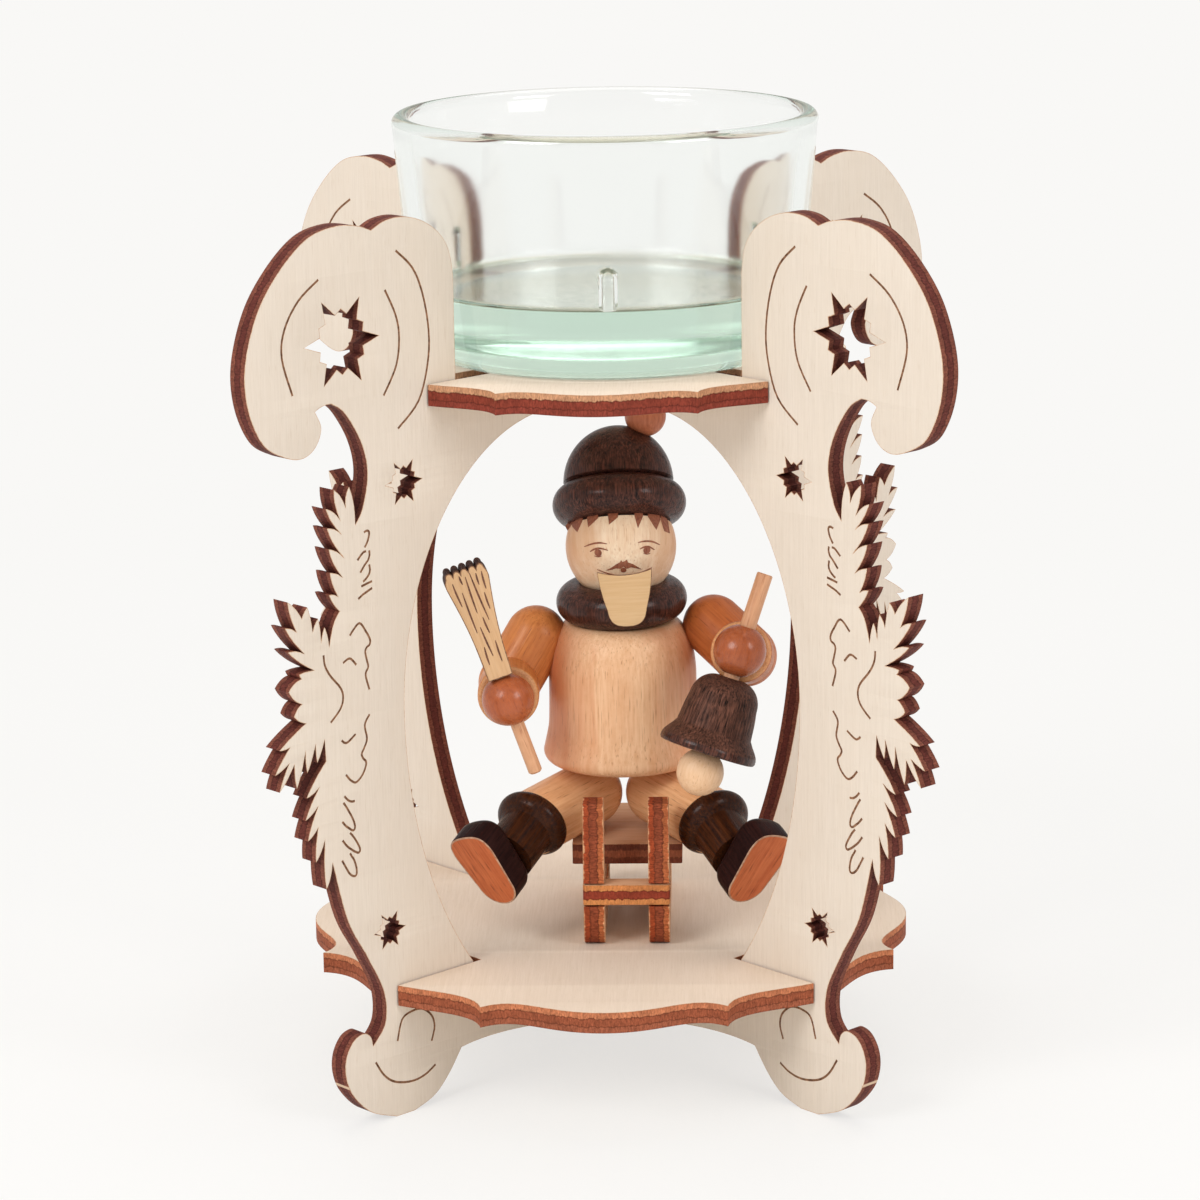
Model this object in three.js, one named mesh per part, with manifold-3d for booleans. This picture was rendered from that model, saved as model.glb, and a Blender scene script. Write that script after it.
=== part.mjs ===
// Tealight holder: a fretwork plywood lantern with a small turned figure on a sled.
// Millimetres, +Z up, the front looks along -Y, origin on the floor below the middle of the lantern.
// Left and right are as seen from the front.

import * as THREE from 'three';
import { mergeVertices } from 'three/addons/utils/BufferGeometryUtils.js';
import Module from 'manifold-3d';

// Stock and fits
const PLY = 3.0; // plywood of the lantern, the sled and the broom
const VENEER = 1.0; // flat beard
const FIT = 0.25; // gap at slots, bores and glued seats

// Glass cup
const CUP_RIM_RADIUS = 30.0;
const CUP_FOOT_RADIUS = 27.2; // cone of the wall carried down to the table
const CUP_HEIGHT = 34.0;
const CUP_WALL = 2.6;
const CUP_FLOOR = 9.8;
const CUP_FLOOR_ROUND = 1.0; // rounding where the wall meets the floor
const CUP_HEEL = 4.4; // rounding at the foot
const CUP_PLAY = 0.85; // between the wall and the panels
const CUP_SHIFT = 0.8; // stands a little right of the middle
const CUP_RIB_WIDTH = 2.6;
const CUP_RIB_HEIGHT = 6.1; // floor to the round top of a rib
const CUP_RIB_DEPTH = 0.7;
const CUP_RIBS = 3;
const CUP_TURN = 1.7; // degrees, how far the first rib is from the front

// Lantern levels and reaches
const FOOT_HEIGHT = 16.35; // floor to the underside of the base plate
const HEAD_ROOM = 5.316; // pompom to the underside of the top plate
const CUP_EDGE_HEIGHT = 14.5; // straight panel edge beside the cup
const BELLY_RISE = 39.0; // base plate to the widest point of the oval
const BELLY_REACH = 10.75; // widest point of the oval, outside the cup edge
const SILL_REACH = 0.85; // panel edge on the base plate, inside the cup edge
const WEB_DEPTH = 3.65; // end of the web under the top plate
const WEB_REACH = 11.0; // from the middle to the end of that web
const BRACKET_REACH = 12.5; // from the middle to the end of the foot bracket
const FOOT_FLAT = 3.4; // flat that the foot stands on

// Stars: centre from the cup edge, height from the plate below it, and the long tip
const BIG_STAR = { out: 20.05, up: 7.85, tip: 6.5 };
const UPPER_STAR = { out: 9.8, up: 71.3, tip: 3.3 };
const LOWER_STAR = { out: 14.5, up: 8.3, tip: 2.85 };

// Plates: the slot end and the outline, measured from the cup edge
const BASE_PLAN = { slot: -2.05, corner: 13.55, lobe: 14.15, cuspX: 17.05, cuspIn: 2.6 };
const TOP_PLAN = { slot: -8.35, corner: 5.25, lobe: 5.35, cuspX: 13.65, cuspIn: 1.8 };

// Sled
const SLED_X = 2.75; // glued a little right of the middle
const SLED_TRACK = 9.3; // between the middles of the runners
const SLED_FRONT = -16.3;
const SLED_REAR = 15.5;
const SEAT_HEIGHT = 9.85; // base plate to the underside of the seat
const SEAT_WIDTH = 15.9;
const SEAT_FRONT = -7.0;
const SEAT_REAR = 14.0;
const HORN_HEIGHT = 21.4;
const HORN_DEPTH = 3.6;
const BAR_HEIGHT = 6.6; // base plate to the underside of a cross bar
const BAR_DEPTH = 3.2;
const WINDOW_HEIGHT = 4.8; // long hole through each runner

// Figure
const FIGURE_X = 2.2;
const FIGURE_Y = 3.0;
const THIGH_RADIUS = 4.8;
const THIGH_LENGTH = 14.0;
const HIP_FORWARD = 0.5;
const LEG_SPLAY = 35; // degrees from straight ahead
const LEG_DROP = 5; // degrees below level
const BOOT_SPLAY = 30;
const BOOT_DROP = 25;
const TOE_TURN = 20; // degrees outward about the boot
const BOOT_CUFF_RADIUS = 5.4;
const BOOT_CUFF_LENGTH = 3.6;
const BOOT_SHAFT_RADIUS = 3.9;
const BOOT_SHAFT_LENGTH = 5.8;
const FOOT_THICKNESS = 4.6;
const FOOT_LENGTH = 12.4;
const FOOT_WIDTH = 7.6;
const TORSO_HEIGHT = 21.0;
const TORSO_TOP_RADIUS = 8.9;
const TORSO_LOW_RADIUS = 10.85;
const TORSO_HEM_RADIUS = 11.65;
const TORSO_HEM = 4.6;
const NECK_RADIUS = 2.4;
const NECK_DEPTH = 6.0; // dowel in the torso and in the head
const SCARF_RADIUS = 9.5;
const SCARF_HEIGHT = 5.8;
const HEAD_RADIUS = 8.0;
const HEAD_RISE = 10.9; // torso top to the middle of the head
const HAT_SEAT = 2.85; // middle of the head to the flat that carries the hat
const HAT_TILT = 25; // degrees, the hat leans back
const HAT_ROLL = 2.2; // degrees, the hat leans left
const HAT_BRIM_RADIUS = 9.7;
const HAT_BRIM_HEIGHT = 6.2;
const HAT_CROWN_RADIUS = 8.0;
const HAT_HEIGHT = 14.6;
const POMPOM_RADIUS = 3.0;
const POMPOM_SINK = 0.8;
const POMPOM_LEAN = 30.2; // degrees from the axis of the hat
const POMPOM_TURN = -32; // degrees from the right toward the back
const BEARD_TOP_WIDTH = 7.8;
const BEARD_LOW_WIDTH = 5.3;
const BEARD_LENGTH = 7.4;
const BEARD_DROP = 2.1; // middle of the head to the top of the beard
const BEARD_ASIDE = 0.7; // right of the middle of the head
const BEARD_ROLL = 3.5; // degrees, the right side is higher

// Arms
const ARM_RADIUS = 4.5;
const FOREARM_RADIUS = 4.4;
const FOREARM_LENGTH = 11.5;
const HAND_RADIUS = 3.75;
const HAND_OUT = 2.5; // hand beyond the end of the sleeve
// A shoulder is pressed against the torso by its sink
const BROOM_ARM = { side: -1, drop: 2.5, sink: 1.1, elbow: [3.9, -2.1, -6.4], out: -2, lift: 5 };
const BELL_ARM = { side: 1, drop: 1.1, sink: 0.2, elbow: [4.6, -4.5, -3.4], out: -4, lift: 17.3 };

// Broom and handbell
const BROOM_TILT = -19.2; // degrees, the top leans left
const STICK_RADIUS = 1.0;
const STICK_BELOW = 11.4; // below the middle of the hand
const STICK_ABOVE = 3.2; // ends inside the hand
const BROOM_LEAN = 7; // degrees, the top leans forward
const BROOM_TURN = 9; // degrees, the face looks to the right
const BROOM_SWING = 2.6; // degrees, stands more upright than the stick
const BROOM_LENGTH = 17.1;
const BROOM_TOP_WIDTH = 6.3;
const BROOM_LOW_WIDTH = 3.6;
const BROOM_TUFTS = 5;
const TUFT_DEPTH = 0.7;
const BELL_TILT = 18.6; // degrees, the handle leans right
const BELL_LEAN = 13; // degrees, the handle leans back
const HANDLE_RADIUS = 1.15;
const HANDLE_ABOVE = 11.4;
const HANDLE_DEPTH = 3.0; // into the bell
const BELL_HANG = 0.3; // hand to the bell
const BELL_HEIGHT = 11.0;
const BELL_SHOULDER_RADIUS = 4.95;
const BELL_WAIST_RADIUS = 5.4;
const BELL_RIM_RADIUS = 7.0;
const BELL_RIM_HEIGHT = 3.3; // foot to the groove above the flared rim
const CLAPPER_RADIUS = 3.35;
const CLAPPER_DROP = 0.25; // bell to the flat of the clapper
const CLAPPER_FLAT_RADIUS = 2.0; // where the ball is glued to the bell

// Facets of round pieces
const ROUND = 24;
const ARC = 6;

// Derived levels
const baseTop = FOOT_HEIGHT + PLY;
const seatTop = baseTop + SEAT_HEIGHT + PLY;
const thighLevel = seatTop + FIT + THIGH_RADIUS;
const torsoBottom = thighLevel + THIGH_RADIUS + FIT;
const torsoTop = torsoBottom + TORSO_HEIGHT;
const headLevel = torsoTop + HEAD_RISE;
const hatFrame = leaning(HAT_TILT, HAT_ROLL).setPosition(0, 0, headLevel);
const hatBottom = HAT_SEAT + FIT;
const crownRise = HAT_HEIGHT - HAT_BRIM_HEIGHT;
const pompomSpot = pompomOnHat().applyMatrix4(hatFrame);
const topUnder = pompomSpot.z + POMPOM_RADIUS + HEAD_ROOM;
const topTop = topUnder + PLY;
const cupEdge = cupRadiusAt(CUP_EDGE_HEIGHT) + CUP_PLAY;
const slotHalf = PLY / 2 + FIT;

// Colours
const BIRCH = { color: 0xe8d9c3, roughness: 0.75, metalness: 0 };
const SLED_PLY = { color: 0x9c5a2c, roughness: 0.6, metalness: 0 };
const BEECH = { color: 0xd6a070, roughness: 0.5, metalness: 0 };
const MAPLE = { color: 0xe2bd93, roughness: 0.5, metalness: 0 };
const SLEEVE = { color: 0xc07c45, roughness: 0.4, metalness: 0 };
const GLOVE = { color: 0xa85a30, roughness: 0.25, metalness: 0 };
const STAINED = { color: 0x3a2219, roughness: 0.4, metalness: 0 };
const LIME = { color: 0xdcb57e, roughness: 0.65, metalness: 0 };
const GLASS = { color: 0xd7ebe2, roughness: 0.05, metalness: 0, transparent: true, opacity: 0.35 };

// Small helpers

function rad(degrees) {
  return (degrees * Math.PI) / 180;
}

function cupRadiusAt(height) {
  return CUP_FOOT_RADIUS + ((CUP_RIM_RADIUS - CUP_FOOT_RADIUS) * height) / CUP_HEIGHT;
}

function mix(a, b, t) {
  return a + (b - a) * t;
}

// Upright frame leaned back and then to the left, in degrees
function leaning(back, left) {
  const frame = new THREE.Matrix4().makeRotationY(rad(-left));
  return frame.multiply(new THREE.Matrix4().makeRotationX(rad(-back)));
}

// Middle of the pompom, in the frame of the hat
function pompomOnHat() {
  const reach = POMPOM_RADIUS - POMPOM_SINK;
  const aside = (HAT_CROWN_RADIUS + reach) * Math.sin(rad(POMPOM_LEAN));
  const up = (crownRise + reach) * Math.cos(rad(POMPOM_LEAN));
  const turn = rad(POMPOM_TURN);
  return vec(aside * Math.cos(turn), aside * Math.sin(turn), hatBottom + HAT_BRIM_HEIGHT + up);
}

// Points of a circular or elliptical arc in a profile, angles in degrees
function arc(cx, cy, rx, ry, from, to, steps = ARC) {
  const points = [];
  for (let i = 0; i <= steps; i += 1) {
    const angle = rad(mix(from, to, i / steps));
    points.push([cx + rx * Math.cos(angle), cy + ry * Math.sin(angle)]);
  }
  return points;
}

// Turned piece: the profile runs up the outside, in radius and height
function turned(profile, sides = ROUND) {
  const points = profile.map(([r, z]) => new THREE.Vector2(Math.max(r, 0), z));
  const geometry = new THREE.LatheGeometry(points, sides);
  geometry.rotateX(Math.PI / 2);
  return geometry;
}

function ball(radius, sides = 18) {
  const geometry = new THREE.SphereGeometry(radius, sides, Math.round(sides * 0.6));
  geometry.rotateX(Math.PI / 2);
  return geometry;
}

// Ball drilled right through along its axis
function drilledBall(radius, bore) {
  const edge = (Math.asin(bore / radius) * 180) / Math.PI;
  const outside = arc(0, 0, radius, radius, -90 + edge, 90 - edge, 9);
  return turned([...outside, outside[0]], 20);
}

function rod(radius, from, to, sides = 14) {
  const geometry = new THREE.CylinderGeometry(radius, radius, to - from, sides);
  geometry.rotateX(Math.PI / 2);
  geometry.translate(0, 0, (from + to) / 2);
  return geometry;
}

// Plywood or veneer cut from a shape and laid in its own plane, centred on its thickness
function sheet(shape, thickness, curveSegments = 4) {
  const geometry = new THREE.ExtrudeGeometry(shape, { depth: thickness, bevelEnabled: false, curveSegments });
  geometry.translate(0, 0, -thickness / 2);
  return geometry;
}

// Frame whose Z follows an axis and whose Y leans toward a given direction
function frameAlong(origin, axis, toward) {
  const z = axis.clone().normalize();
  const x = new THREE.Vector3().crossVectors(toward, z).normalize();
  const y = new THREE.Vector3().crossVectors(z, x);
  return new THREE.Matrix4().makeBasis(x, y, z).setPosition(origin);
}

function vec(x, y, z) {
  return new THREE.Vector3(x, y, z);
}

// Forward direction turned to the right and lifted, in degrees
function heading(turn, lift) {
  const flat = Math.cos(rad(lift));
  return vec(Math.sin(rad(turn)) * flat, -Math.cos(rad(turn)) * flat, Math.sin(rad(lift)));
}

const wasm = await Module();
wasm.setup();

// Shared corners and no slivers
function welded(geometry, tolerance) {
  const bare = geometry.clone();
  bare.deleteAttribute('normal');
  bare.deleteAttribute('uv');
  const merged = mergeVertices(bare, tolerance);
  const index = merged.index.array;
  const kept = [];
  for (let i = 0; i < index.length; i += 3) {
    const [a, b, c] = [index[i], index[i + 1], index[i + 2]];
    if (a !== b && b !== c && c !== a) {
      kept.push(a, b, c);
    }
  }
  merged.setIndex(kept);
  return merged;
}

// Closed mesh to a solid that can be cut and joined
function solid(geometry) {
  const closed = welded(geometry, 1e-4);
  const vertProperties = new Float32Array(closed.attributes.position.array);
  const triVerts = new Uint32Array(closed.index.array);
  return new wasm.Manifold(new wasm.Mesh({ numProp: 3, vertProperties, triVerts }));
}

function geometryOf(manifold) {
  const mesh = manifold.getMesh();
  const raw = new THREE.BufferGeometry();
  raw.setAttribute('position', new THREE.BufferAttribute(new Float32Array(mesh.vertProperties), 3));
  raw.setIndex(new THREE.BufferAttribute(new Uint32Array(mesh.triVerts), 1));
  const geometry = welded(raw, 2e-3);
  geometry.computeVertexNormals();
  return geometry;
}

function cut(geometry, ...tools) {
  let body = solid(geometry);
  for (const tool of tools) {
    body = body.subtract(solid(tool));
  }
  return geometryOf(body);
}

const holder = new THREE.Group();
const figure = new THREE.Group();
figure.position.set(FIGURE_X, FIGURE_Y, 0);
holder.add(figure);

function add(parent, name, geometry, look) {
  const mesh = new THREE.Mesh(geometry, new THREE.MeshStandardMaterial(look));
  mesh.name = name;
  parent.add(mesh);
  return mesh;
}

// Fretwork panels

// Star with long and short points in turn
function starPath(centre, level) {
  const path = new THREE.Path();
  const reach = [centre.tip, centre.tip * 0.58, centre.tip * 0.68, centre.tip * 0.58];
  for (let i = 0; i < 24; i += 1) {
    const angle = (i * Math.PI) / 12;
    const x = cupEdge + centre.out + reach[i % 4] * Math.cos(angle);
    const y = level + centre.up + reach[i % 4] * Math.sin(angle);
    if (i === 0) {
      path.moveTo(x, y);
    } else {
      path.lineTo(x, y);
    }
  }
  path.closePath();
  return path;
}

// Needles of a twig: each entry is a tip and the valley after it, [out, up, out, up]
const UPPER_TWIG = [
  [19.5, 31.6, 20.2, 28.8],
  [22.2, 31.6, 21.2, 27.2],
  [23.7, 29.2, 20.9, 25.1],
  [23.6, 26.5, 20.5, 21.7],
  [23.4, 23.6, 21.1, 19.3],
  [23.3, 20.3, 22.0, 16.8],
  [23.6, 17.3, 21.8, 14.7],
];
const MIDDLE_TWIG = [
  [24.5, 13.0, 25.2, 10.9],
  [25.6, 14.4, 26.6, 12.7],
  [27.4, 16.3, 28.4, 14.9],
  [30.8, 17.6, 29.4, 13.2],
  [31.4, 14.1, 28.2, 10.0],
  [31.0, 10.7, 26.6, 7.4],
  [29.2, 7.3, 28.8, 6.6],
];
const CONE_SCALES = [
  [31.1, 5.2, 28.9, 3.1],
  [30.3, 1.6, 28.3, 0.3],
];
const SIDE_TWIG = [
  [33.0, -2.6, 31.2, -2.5],
  [33.9, -5.9, 31.4, -4.7],
  [33.2, -8.4, 30.5, -5.0],
  [30.2, -8.5, 28.5, -3.5],
  [28.3, -6.7, 26.7, -2.9],
  [26.5, -5.6, 25.1, -2.6],
];
const LOWER_TWIG = [
  [28.6, -10.2, 26.3, -9.1],
  [28.9, -13.3, 26.6, -11.7],
  [28.6, -16.3, 26.7, -14.7],
  [27.3, -19.6, 25.6, -16.7],
  [25.6, -23.8, 24.4, -20.3],
];

// Rounded leaf from the present point over its tip to the next valley
function needle(shape, [tipOut, tipUp, endOut, endUp], middle, bulge) {
  const from = shape.currentPoint.clone();
  const tip = new THREE.Vector2(cupEdge + tipOut, middle + tipUp);
  const end = new THREE.Vector2(cupEdge + endOut, middle + endUp);
  const out = tip.clone().sub(from.clone().add(end).multiplyScalar(0.5));
  const side = new THREE.Vector2(out.y, -out.x).multiplyScalar(bulge);
  const rise = from.clone().lerp(tip, 0.6).sub(side);
  const fall = tip.clone().lerp(end, 0.4).add(side);
  shape.quadraticCurveTo(rise.x, rise.y, tip.x, tip.y);
  shape.quadraticCurveTo(fall.x, fall.y, end.x, end.y);
}

function panelShape() {
  const at = (out, level) => new THREE.Vector2(cupEdge + out, level);
  const through = (list) => list.map(([out, level]) => at(out, level));
  const sill = cupEdge - SILL_REACH;
  const belly = cupEdge + BELLY_REACH;
  const bellyLevel = baseTop + BELLY_RISE;
  const shelf = FOOT_HEIGHT - FIT;
  const webShelf = topUnder - FIT;
  const middle = (baseTop + topUnder) / 2;
  const lowerRise = BELLY_RISE / Math.sqrt(1 - (sill / belly) ** 2);
  const sillAngle = Math.asin(-BELLY_RISE / lowerRise);
  const webEnd = topUnder - WEB_DEPTH;
  const footFlatOut = 10.75;
  const shape = new THREE.Shape();

  // Foot bracket, shelf for the base plate and the oval inner edge
  shape.moveTo(cupEdge + 1.75, 7.1);
  shape.bezierCurveTo(cupEdge - 4, 7.9, BRACKET_REACH + 6, 7.0, BRACKET_REACH + 1.5, 6.4);
  shape.quadraticCurveTo(BRACKET_REACH, 6.4, BRACKET_REACH, 8.5);
  shape.lineTo(BRACKET_REACH, shelf);
  shape.lineTo(sill, shelf);
  shape.lineTo(sill, baseTop);
  const upperReach = belly - WEB_REACH;
  const upperRise = webEnd - bellyLevel;
  shape.absellipse(0, bellyLevel, belly, lowerRise, sillAngle, sillAngle / 2, false);
  shape.absellipse(0, bellyLevel, belly, lowerRise, sillAngle / 2, 0, false);
  shape.absellipse(WEB_REACH, bellyLevel, upperReach, upperRise, 0, Math.PI / 4, false);
  shape.absellipse(WEB_REACH, bellyLevel, upperReach, upperRise, Math.PI / 4, Math.PI / 2, false);

  // Shelf for the top plate, edge beside the cup and the two top lobes
  shape.lineTo(WEB_REACH, webShelf);
  shape.lineTo(cupEdge, webShelf);
  shape.lineTo(cupEdge, topTop + CUP_EDGE_HEIGHT);
  shape.splineThru(through([
    [0.65, topTop + 17.8],
    [2.3, topTop + 20.4],
    [5.2, topTop + 22.4],
    [8.7, topTop + 23.4],
    [12.0, topTop + 23.2],
    [14.4, topTop + 22.2],
  ]));

  // Scroll, hook and neck
  shape.splineThru(through([
    [17.0, topTop + 23.1],
    [20.8, topTop + 23.4],
    [25.5, topTop + 22.3],
    [30.3, topTop + 18.6],
    [34.3, topTop + 13.4],
    [36.6, topTop + 6.6],
    [36.3, topTop + 0.8],
    [34.0, topTop - 4.1],
    [30.6, topTop - 6.3],
    [27.6, topTop - 7.0],
    [25.2, topTop - 5.9],
    [24.0, topTop - 3.4],
    [25.0, topTop - 1.0],
  ]));
  shape.quadraticCurveTo(cupEdge + 23.8, topTop - 0.2, cupEdge + 22.2, topTop - 0.3);
  shape.splineThru(through([
    [19.9, topTop - 1.9],
    [17.2, topTop - 6.2],
    [16.2, topTop - 10.6],
    [17.2, topTop - 15.2],
    [18.6, middle + 26.2],
  ]));

  // Twigs and cone
  UPPER_TWIG.forEach((entry) => needle(shape, entry, middle, 0.16));
  shape.quadraticCurveTo(cupEdge + 23.2, middle + 13.6, cupEdge + 23.8, middle + 10.1);
  MIDDLE_TWIG.forEach((entry) => needle(shape, entry, middle, 0.12));
  CONE_SCALES.forEach((entry) => needle(shape, entry, middle, 0.32));
  SIDE_TWIG.forEach((entry) => needle(shape, entry, middle, 0.08));
  shape.lineTo(cupEdge + 25.0, middle - 5.7);
  LOWER_TWIG.forEach((entry) => needle(shape, entry, middle, 0.1));

  // Waist down to the foot
  shape.splineThru(through([
    [22.0, baseTop + 11.4],
    [18.6, baseTop + 5.2],
    [15.9, baseTop - 0.4],
    [15.8, FOOT_HEIGHT - 2.0],
    [18.1, FOOT_HEIGHT - 4.8],
  ]));
  shape.splineThru(through([
    [18.5, FOOT_HEIGHT - 3.4],
    [19.7, FOOT_HEIGHT - 2.6],
    [21.6, FOOT_HEIGHT - 3.2],
    [23.0, FOOT_HEIGHT - 5.3],
    [23.2, 8.3],
    [22.0, 5.2],
    [18.8, 1.9],
    [footFlatOut + FOOT_FLAT, 0],
  ]));
  shape.lineTo(cupEdge + footFlatOut, 0);
  shape.splineThru(through([[7.0, 1.3], [4.2, 3.8], [1.75, 7.1]]));

  shape.holes.push(starPath(BIG_STAR, topTop));
  shape.holes.push(starPath(UPPER_STAR, baseTop));
  shape.holes.push(starPath(LOWER_STAR, baseTop));
  return shape;
}

function addPanels() {
  const geometry = sheet(panelShape(), PLY, 3);
  geometry.rotateX(Math.PI / 2);
  const places = [
    ['panel_back_right', 45],
    ['panel_back_left', 135],
    ['panel_front_left', 225],
    ['panel_front_right', 315],
  ];
  for (const [name, turn] of places) {
    add(holder, name, geometry.clone().rotateZ(rad(turn)), BIRCH);
  }
}

// Plates: one side of the outline, turned four times, with a slot at each corner
function platePlan(plan) {
  const lobe = cupEdge + plan.lobe;
  const cuspY = -(lobe - plan.cuspIn);
  const diagonal = (along, aside) => [(-along + aside) * Math.SQRT1_2, (-along - aside) * Math.SQRT1_2];
  const corner = diagonal(cupEdge + plan.corner, slotHalf);
  const inner = diagonal(cupEdge + plan.slot, slotHalf);
  const shape = new THREE.Shape();
  for (let side = 0; side < 4; side += 1) {
    const spin = ([x, y]) => {
      const turned90 = [[x, y], [-y, x], [-x, -y], [y, -x]];
      return turned90[side];
    };
    const curve = (c1, c2, end) => shape.bezierCurveTo(...spin(c1), ...spin(c2), ...spin(end));
    const mirror = ([x, y]) => [-x, y];
    const step = [mix(corner[0], -plan.cuspX, 0.45), mix(corner[1], cuspY, 0.33)];
    const fall = [-plan.cuspX - 0.9, mix(corner[1], cuspY, 0.42)];
    const cusp = [-plan.cuspX, cuspY];
    const swell = [-plan.cuspX * 0.68, cuspY + plan.cuspIn * 1.7];
    const crest = [-plan.cuspX * 0.5, -lobe];
    const top = [0, -lobe];
    if (side === 0) {
      shape.moveTo(...spin(inner));
    } else {
      shape.lineTo(...spin(inner));
    }
    shape.lineTo(...spin(corner));
    curve(step, fall, cusp);
    curve(swell, crest, top);
    curve(mirror(crest), mirror(swell), mirror(cusp));
    curve(mirror(fall), mirror(step), mirror(corner));
    shape.lineTo(...spin(mirror(inner)));
  }
  return shape;
}

function addPlates() {
  const base = sheet(platePlan(BASE_PLAN), PLY);
  base.translate(0, 0, FOOT_HEIGHT + PLY / 2);
  add(holder, 'base_plate', base, BIRCH);
  const top = sheet(platePlan(TOP_PLAN), PLY);
  top.translate(0, 0, topUnder + PLY / 2);
  add(holder, 'top_plate', top, BIRCH);
}

// Glass cup with ribs that centre the candle
function addCup() {
  const lip = CUP_WALL / 2;
  const heelOut = cupRadiusAt(CUP_HEEL);
  const floorRadius = cupRadiusAt(CUP_FLOOR) - CUP_WALL;
  const bend = CUP_FLOOR_ROUND;
  const rimMiddle = CUP_RIM_RADIUS - lip;
  const profile = [
    [0, 0.6],
    [heelOut - CUP_HEEL - 2.0, 0.6],
    [heelOut - CUP_HEEL - 1.4, 0],
    ...arc(heelOut - CUP_HEEL, CUP_HEEL, CUP_HEEL, CUP_HEEL, -90, 0, 5),
    ...arc(rimMiddle, CUP_HEIGHT - lip, lip, lip, 0, 180, 6),
    ...arc(floorRadius - bend, CUP_FLOOR + bend, bend, bend, 0, -90, 4),
    [0, CUP_FLOOR],
  ];
  let cup = solid(turned(profile, 36));
  for (let i = 0; i < CUP_RIBS; i += 1) {
    const rise = CUP_RIB_HEIGHT - CUP_RIB_WIDTH / 2;
    const rib = new THREE.CapsuleGeometry(CUP_RIB_WIDTH / 2, rise, 4, 10, 1);
    rib.rotateX(Math.PI / 2);
    const out = floorRadius + CUP_RIB_WIDTH / 2 - CUP_RIB_DEPTH;
    rib.translate(0, -out, CUP_FLOOR + rise / 2);
    rib.rotateZ(rad(CUP_TURN + (360 * i) / CUP_RIBS));
    cup = cup.add(solid(rib));
  }
  const geometry = geometryOf(cup);
  geometry.translate(CUP_SHIFT, 0, topTop);
  add(holder, 'glass_cup', geometry, GLASS);
}

// Sled

function runnerShape() {
  const ledge = SEAT_HEIGHT;
  const barLow = BAR_HEIGHT - FIT;
  const barHigh = BAR_HEIGHT + PLY + FIT;
  const shape = new THREE.Shape();
  shape.moveTo(SLED_FRONT + 3.2, 0);
  shape.lineTo(SLED_REAR - 1.5, 0);
  shape.quadraticCurveTo(SLED_REAR, 0, SLED_REAR, 1.5);
  shape.lineTo(SLED_REAR, barLow);
  shape.lineTo(SLED_REAR - BAR_DEPTH - FIT, barLow);
  shape.lineTo(SLED_REAR - BAR_DEPTH - FIT, ledge);
  shape.lineTo(SEAT_FRONT - 1.2, ledge);
  shape.quadraticCurveTo(SLED_FRONT + HORN_DEPTH, ledge, SLED_FRONT + HORN_DEPTH, ledge + 3.5);
  shape.lineTo(SLED_FRONT + HORN_DEPTH + 0.8, HORN_HEIGHT);
  shape.lineTo(SLED_FRONT + 0.8, HORN_HEIGHT);
  shape.lineTo(SLED_FRONT, barHigh + 3);
  shape.lineTo(SLED_FRONT, barHigh);
  shape.lineTo(SLED_FRONT + BAR_DEPTH + FIT, barHigh);
  shape.lineTo(SLED_FRONT + BAR_DEPTH + FIT, barLow);
  shape.lineTo(SLED_FRONT, barLow);
  shape.quadraticCurveTo(SLED_FRONT + 0.2, 0.6, SLED_FRONT + 3.2, 0);
  const window = new THREE.Path();
  const middle = ledge / 2;
  const bend = WINDOW_HEIGHT / 2;
  const front = SEAT_FRONT + 1;
  const rear = SLED_REAR - BAR_DEPTH - 5;
  window.moveTo(front, middle - bend);
  window.absarc(rear, middle, bend, -Math.PI / 2, Math.PI / 2, false);
  window.absarc(front, middle, bend, Math.PI / 2, Math.PI * 1.5, false);
  shape.holes.push(window);
  return shape;
}

function seatAt(gap) {
  const length = SEAT_REAR - SEAT_FRONT;
  const seat = new THREE.BoxGeometry(SEAT_WIDTH + 2 * gap, length + 2 * gap, PLY + 2 * gap);
  return seat.translate(SLED_X, (SEAT_REAR + SEAT_FRONT) / 2, seatTop - PLY / 2);
}

function addSled() {
  const runner = sheet(runnerShape(), PLY);
  runner.rotateX(Math.PI / 2);
  runner.rotateZ(Math.PI / 2);
  for (const [name, side] of [['sled_runner_left', -1], ['sled_runner_right', 1]]) {
    const geometry = runner.clone().translate(SLED_X + (side * SLED_TRACK) / 2, 0, baseTop);
    add(holder, name, geometry, SLED_PLY);
  }
  add(holder, 'sled_seat', seatAt(0), SLED_PLY);
  const barWidth = SLED_TRACK + PLY + 0.1;
  const barLevel = baseTop + BAR_HEIGHT + PLY / 2;
  const frontBar = new THREE.BoxGeometry(barWidth, BAR_DEPTH, PLY);
  frontBar.translate(SLED_X, SLED_FRONT + BAR_DEPTH / 2, barLevel);
  add(holder, 'sled_front_bar', frontBar, SLED_PLY);
  const rearBar = new THREE.BoxGeometry(barWidth, BAR_DEPTH, PLY);
  rearBar.translate(SLED_X, SLED_REAR - BAR_DEPTH / 2, barLevel);
  add(holder, 'sled_rear_bar', rearBar, SLED_PLY);
}

// Torso, scarf, head and hat stand on one dowel

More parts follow.
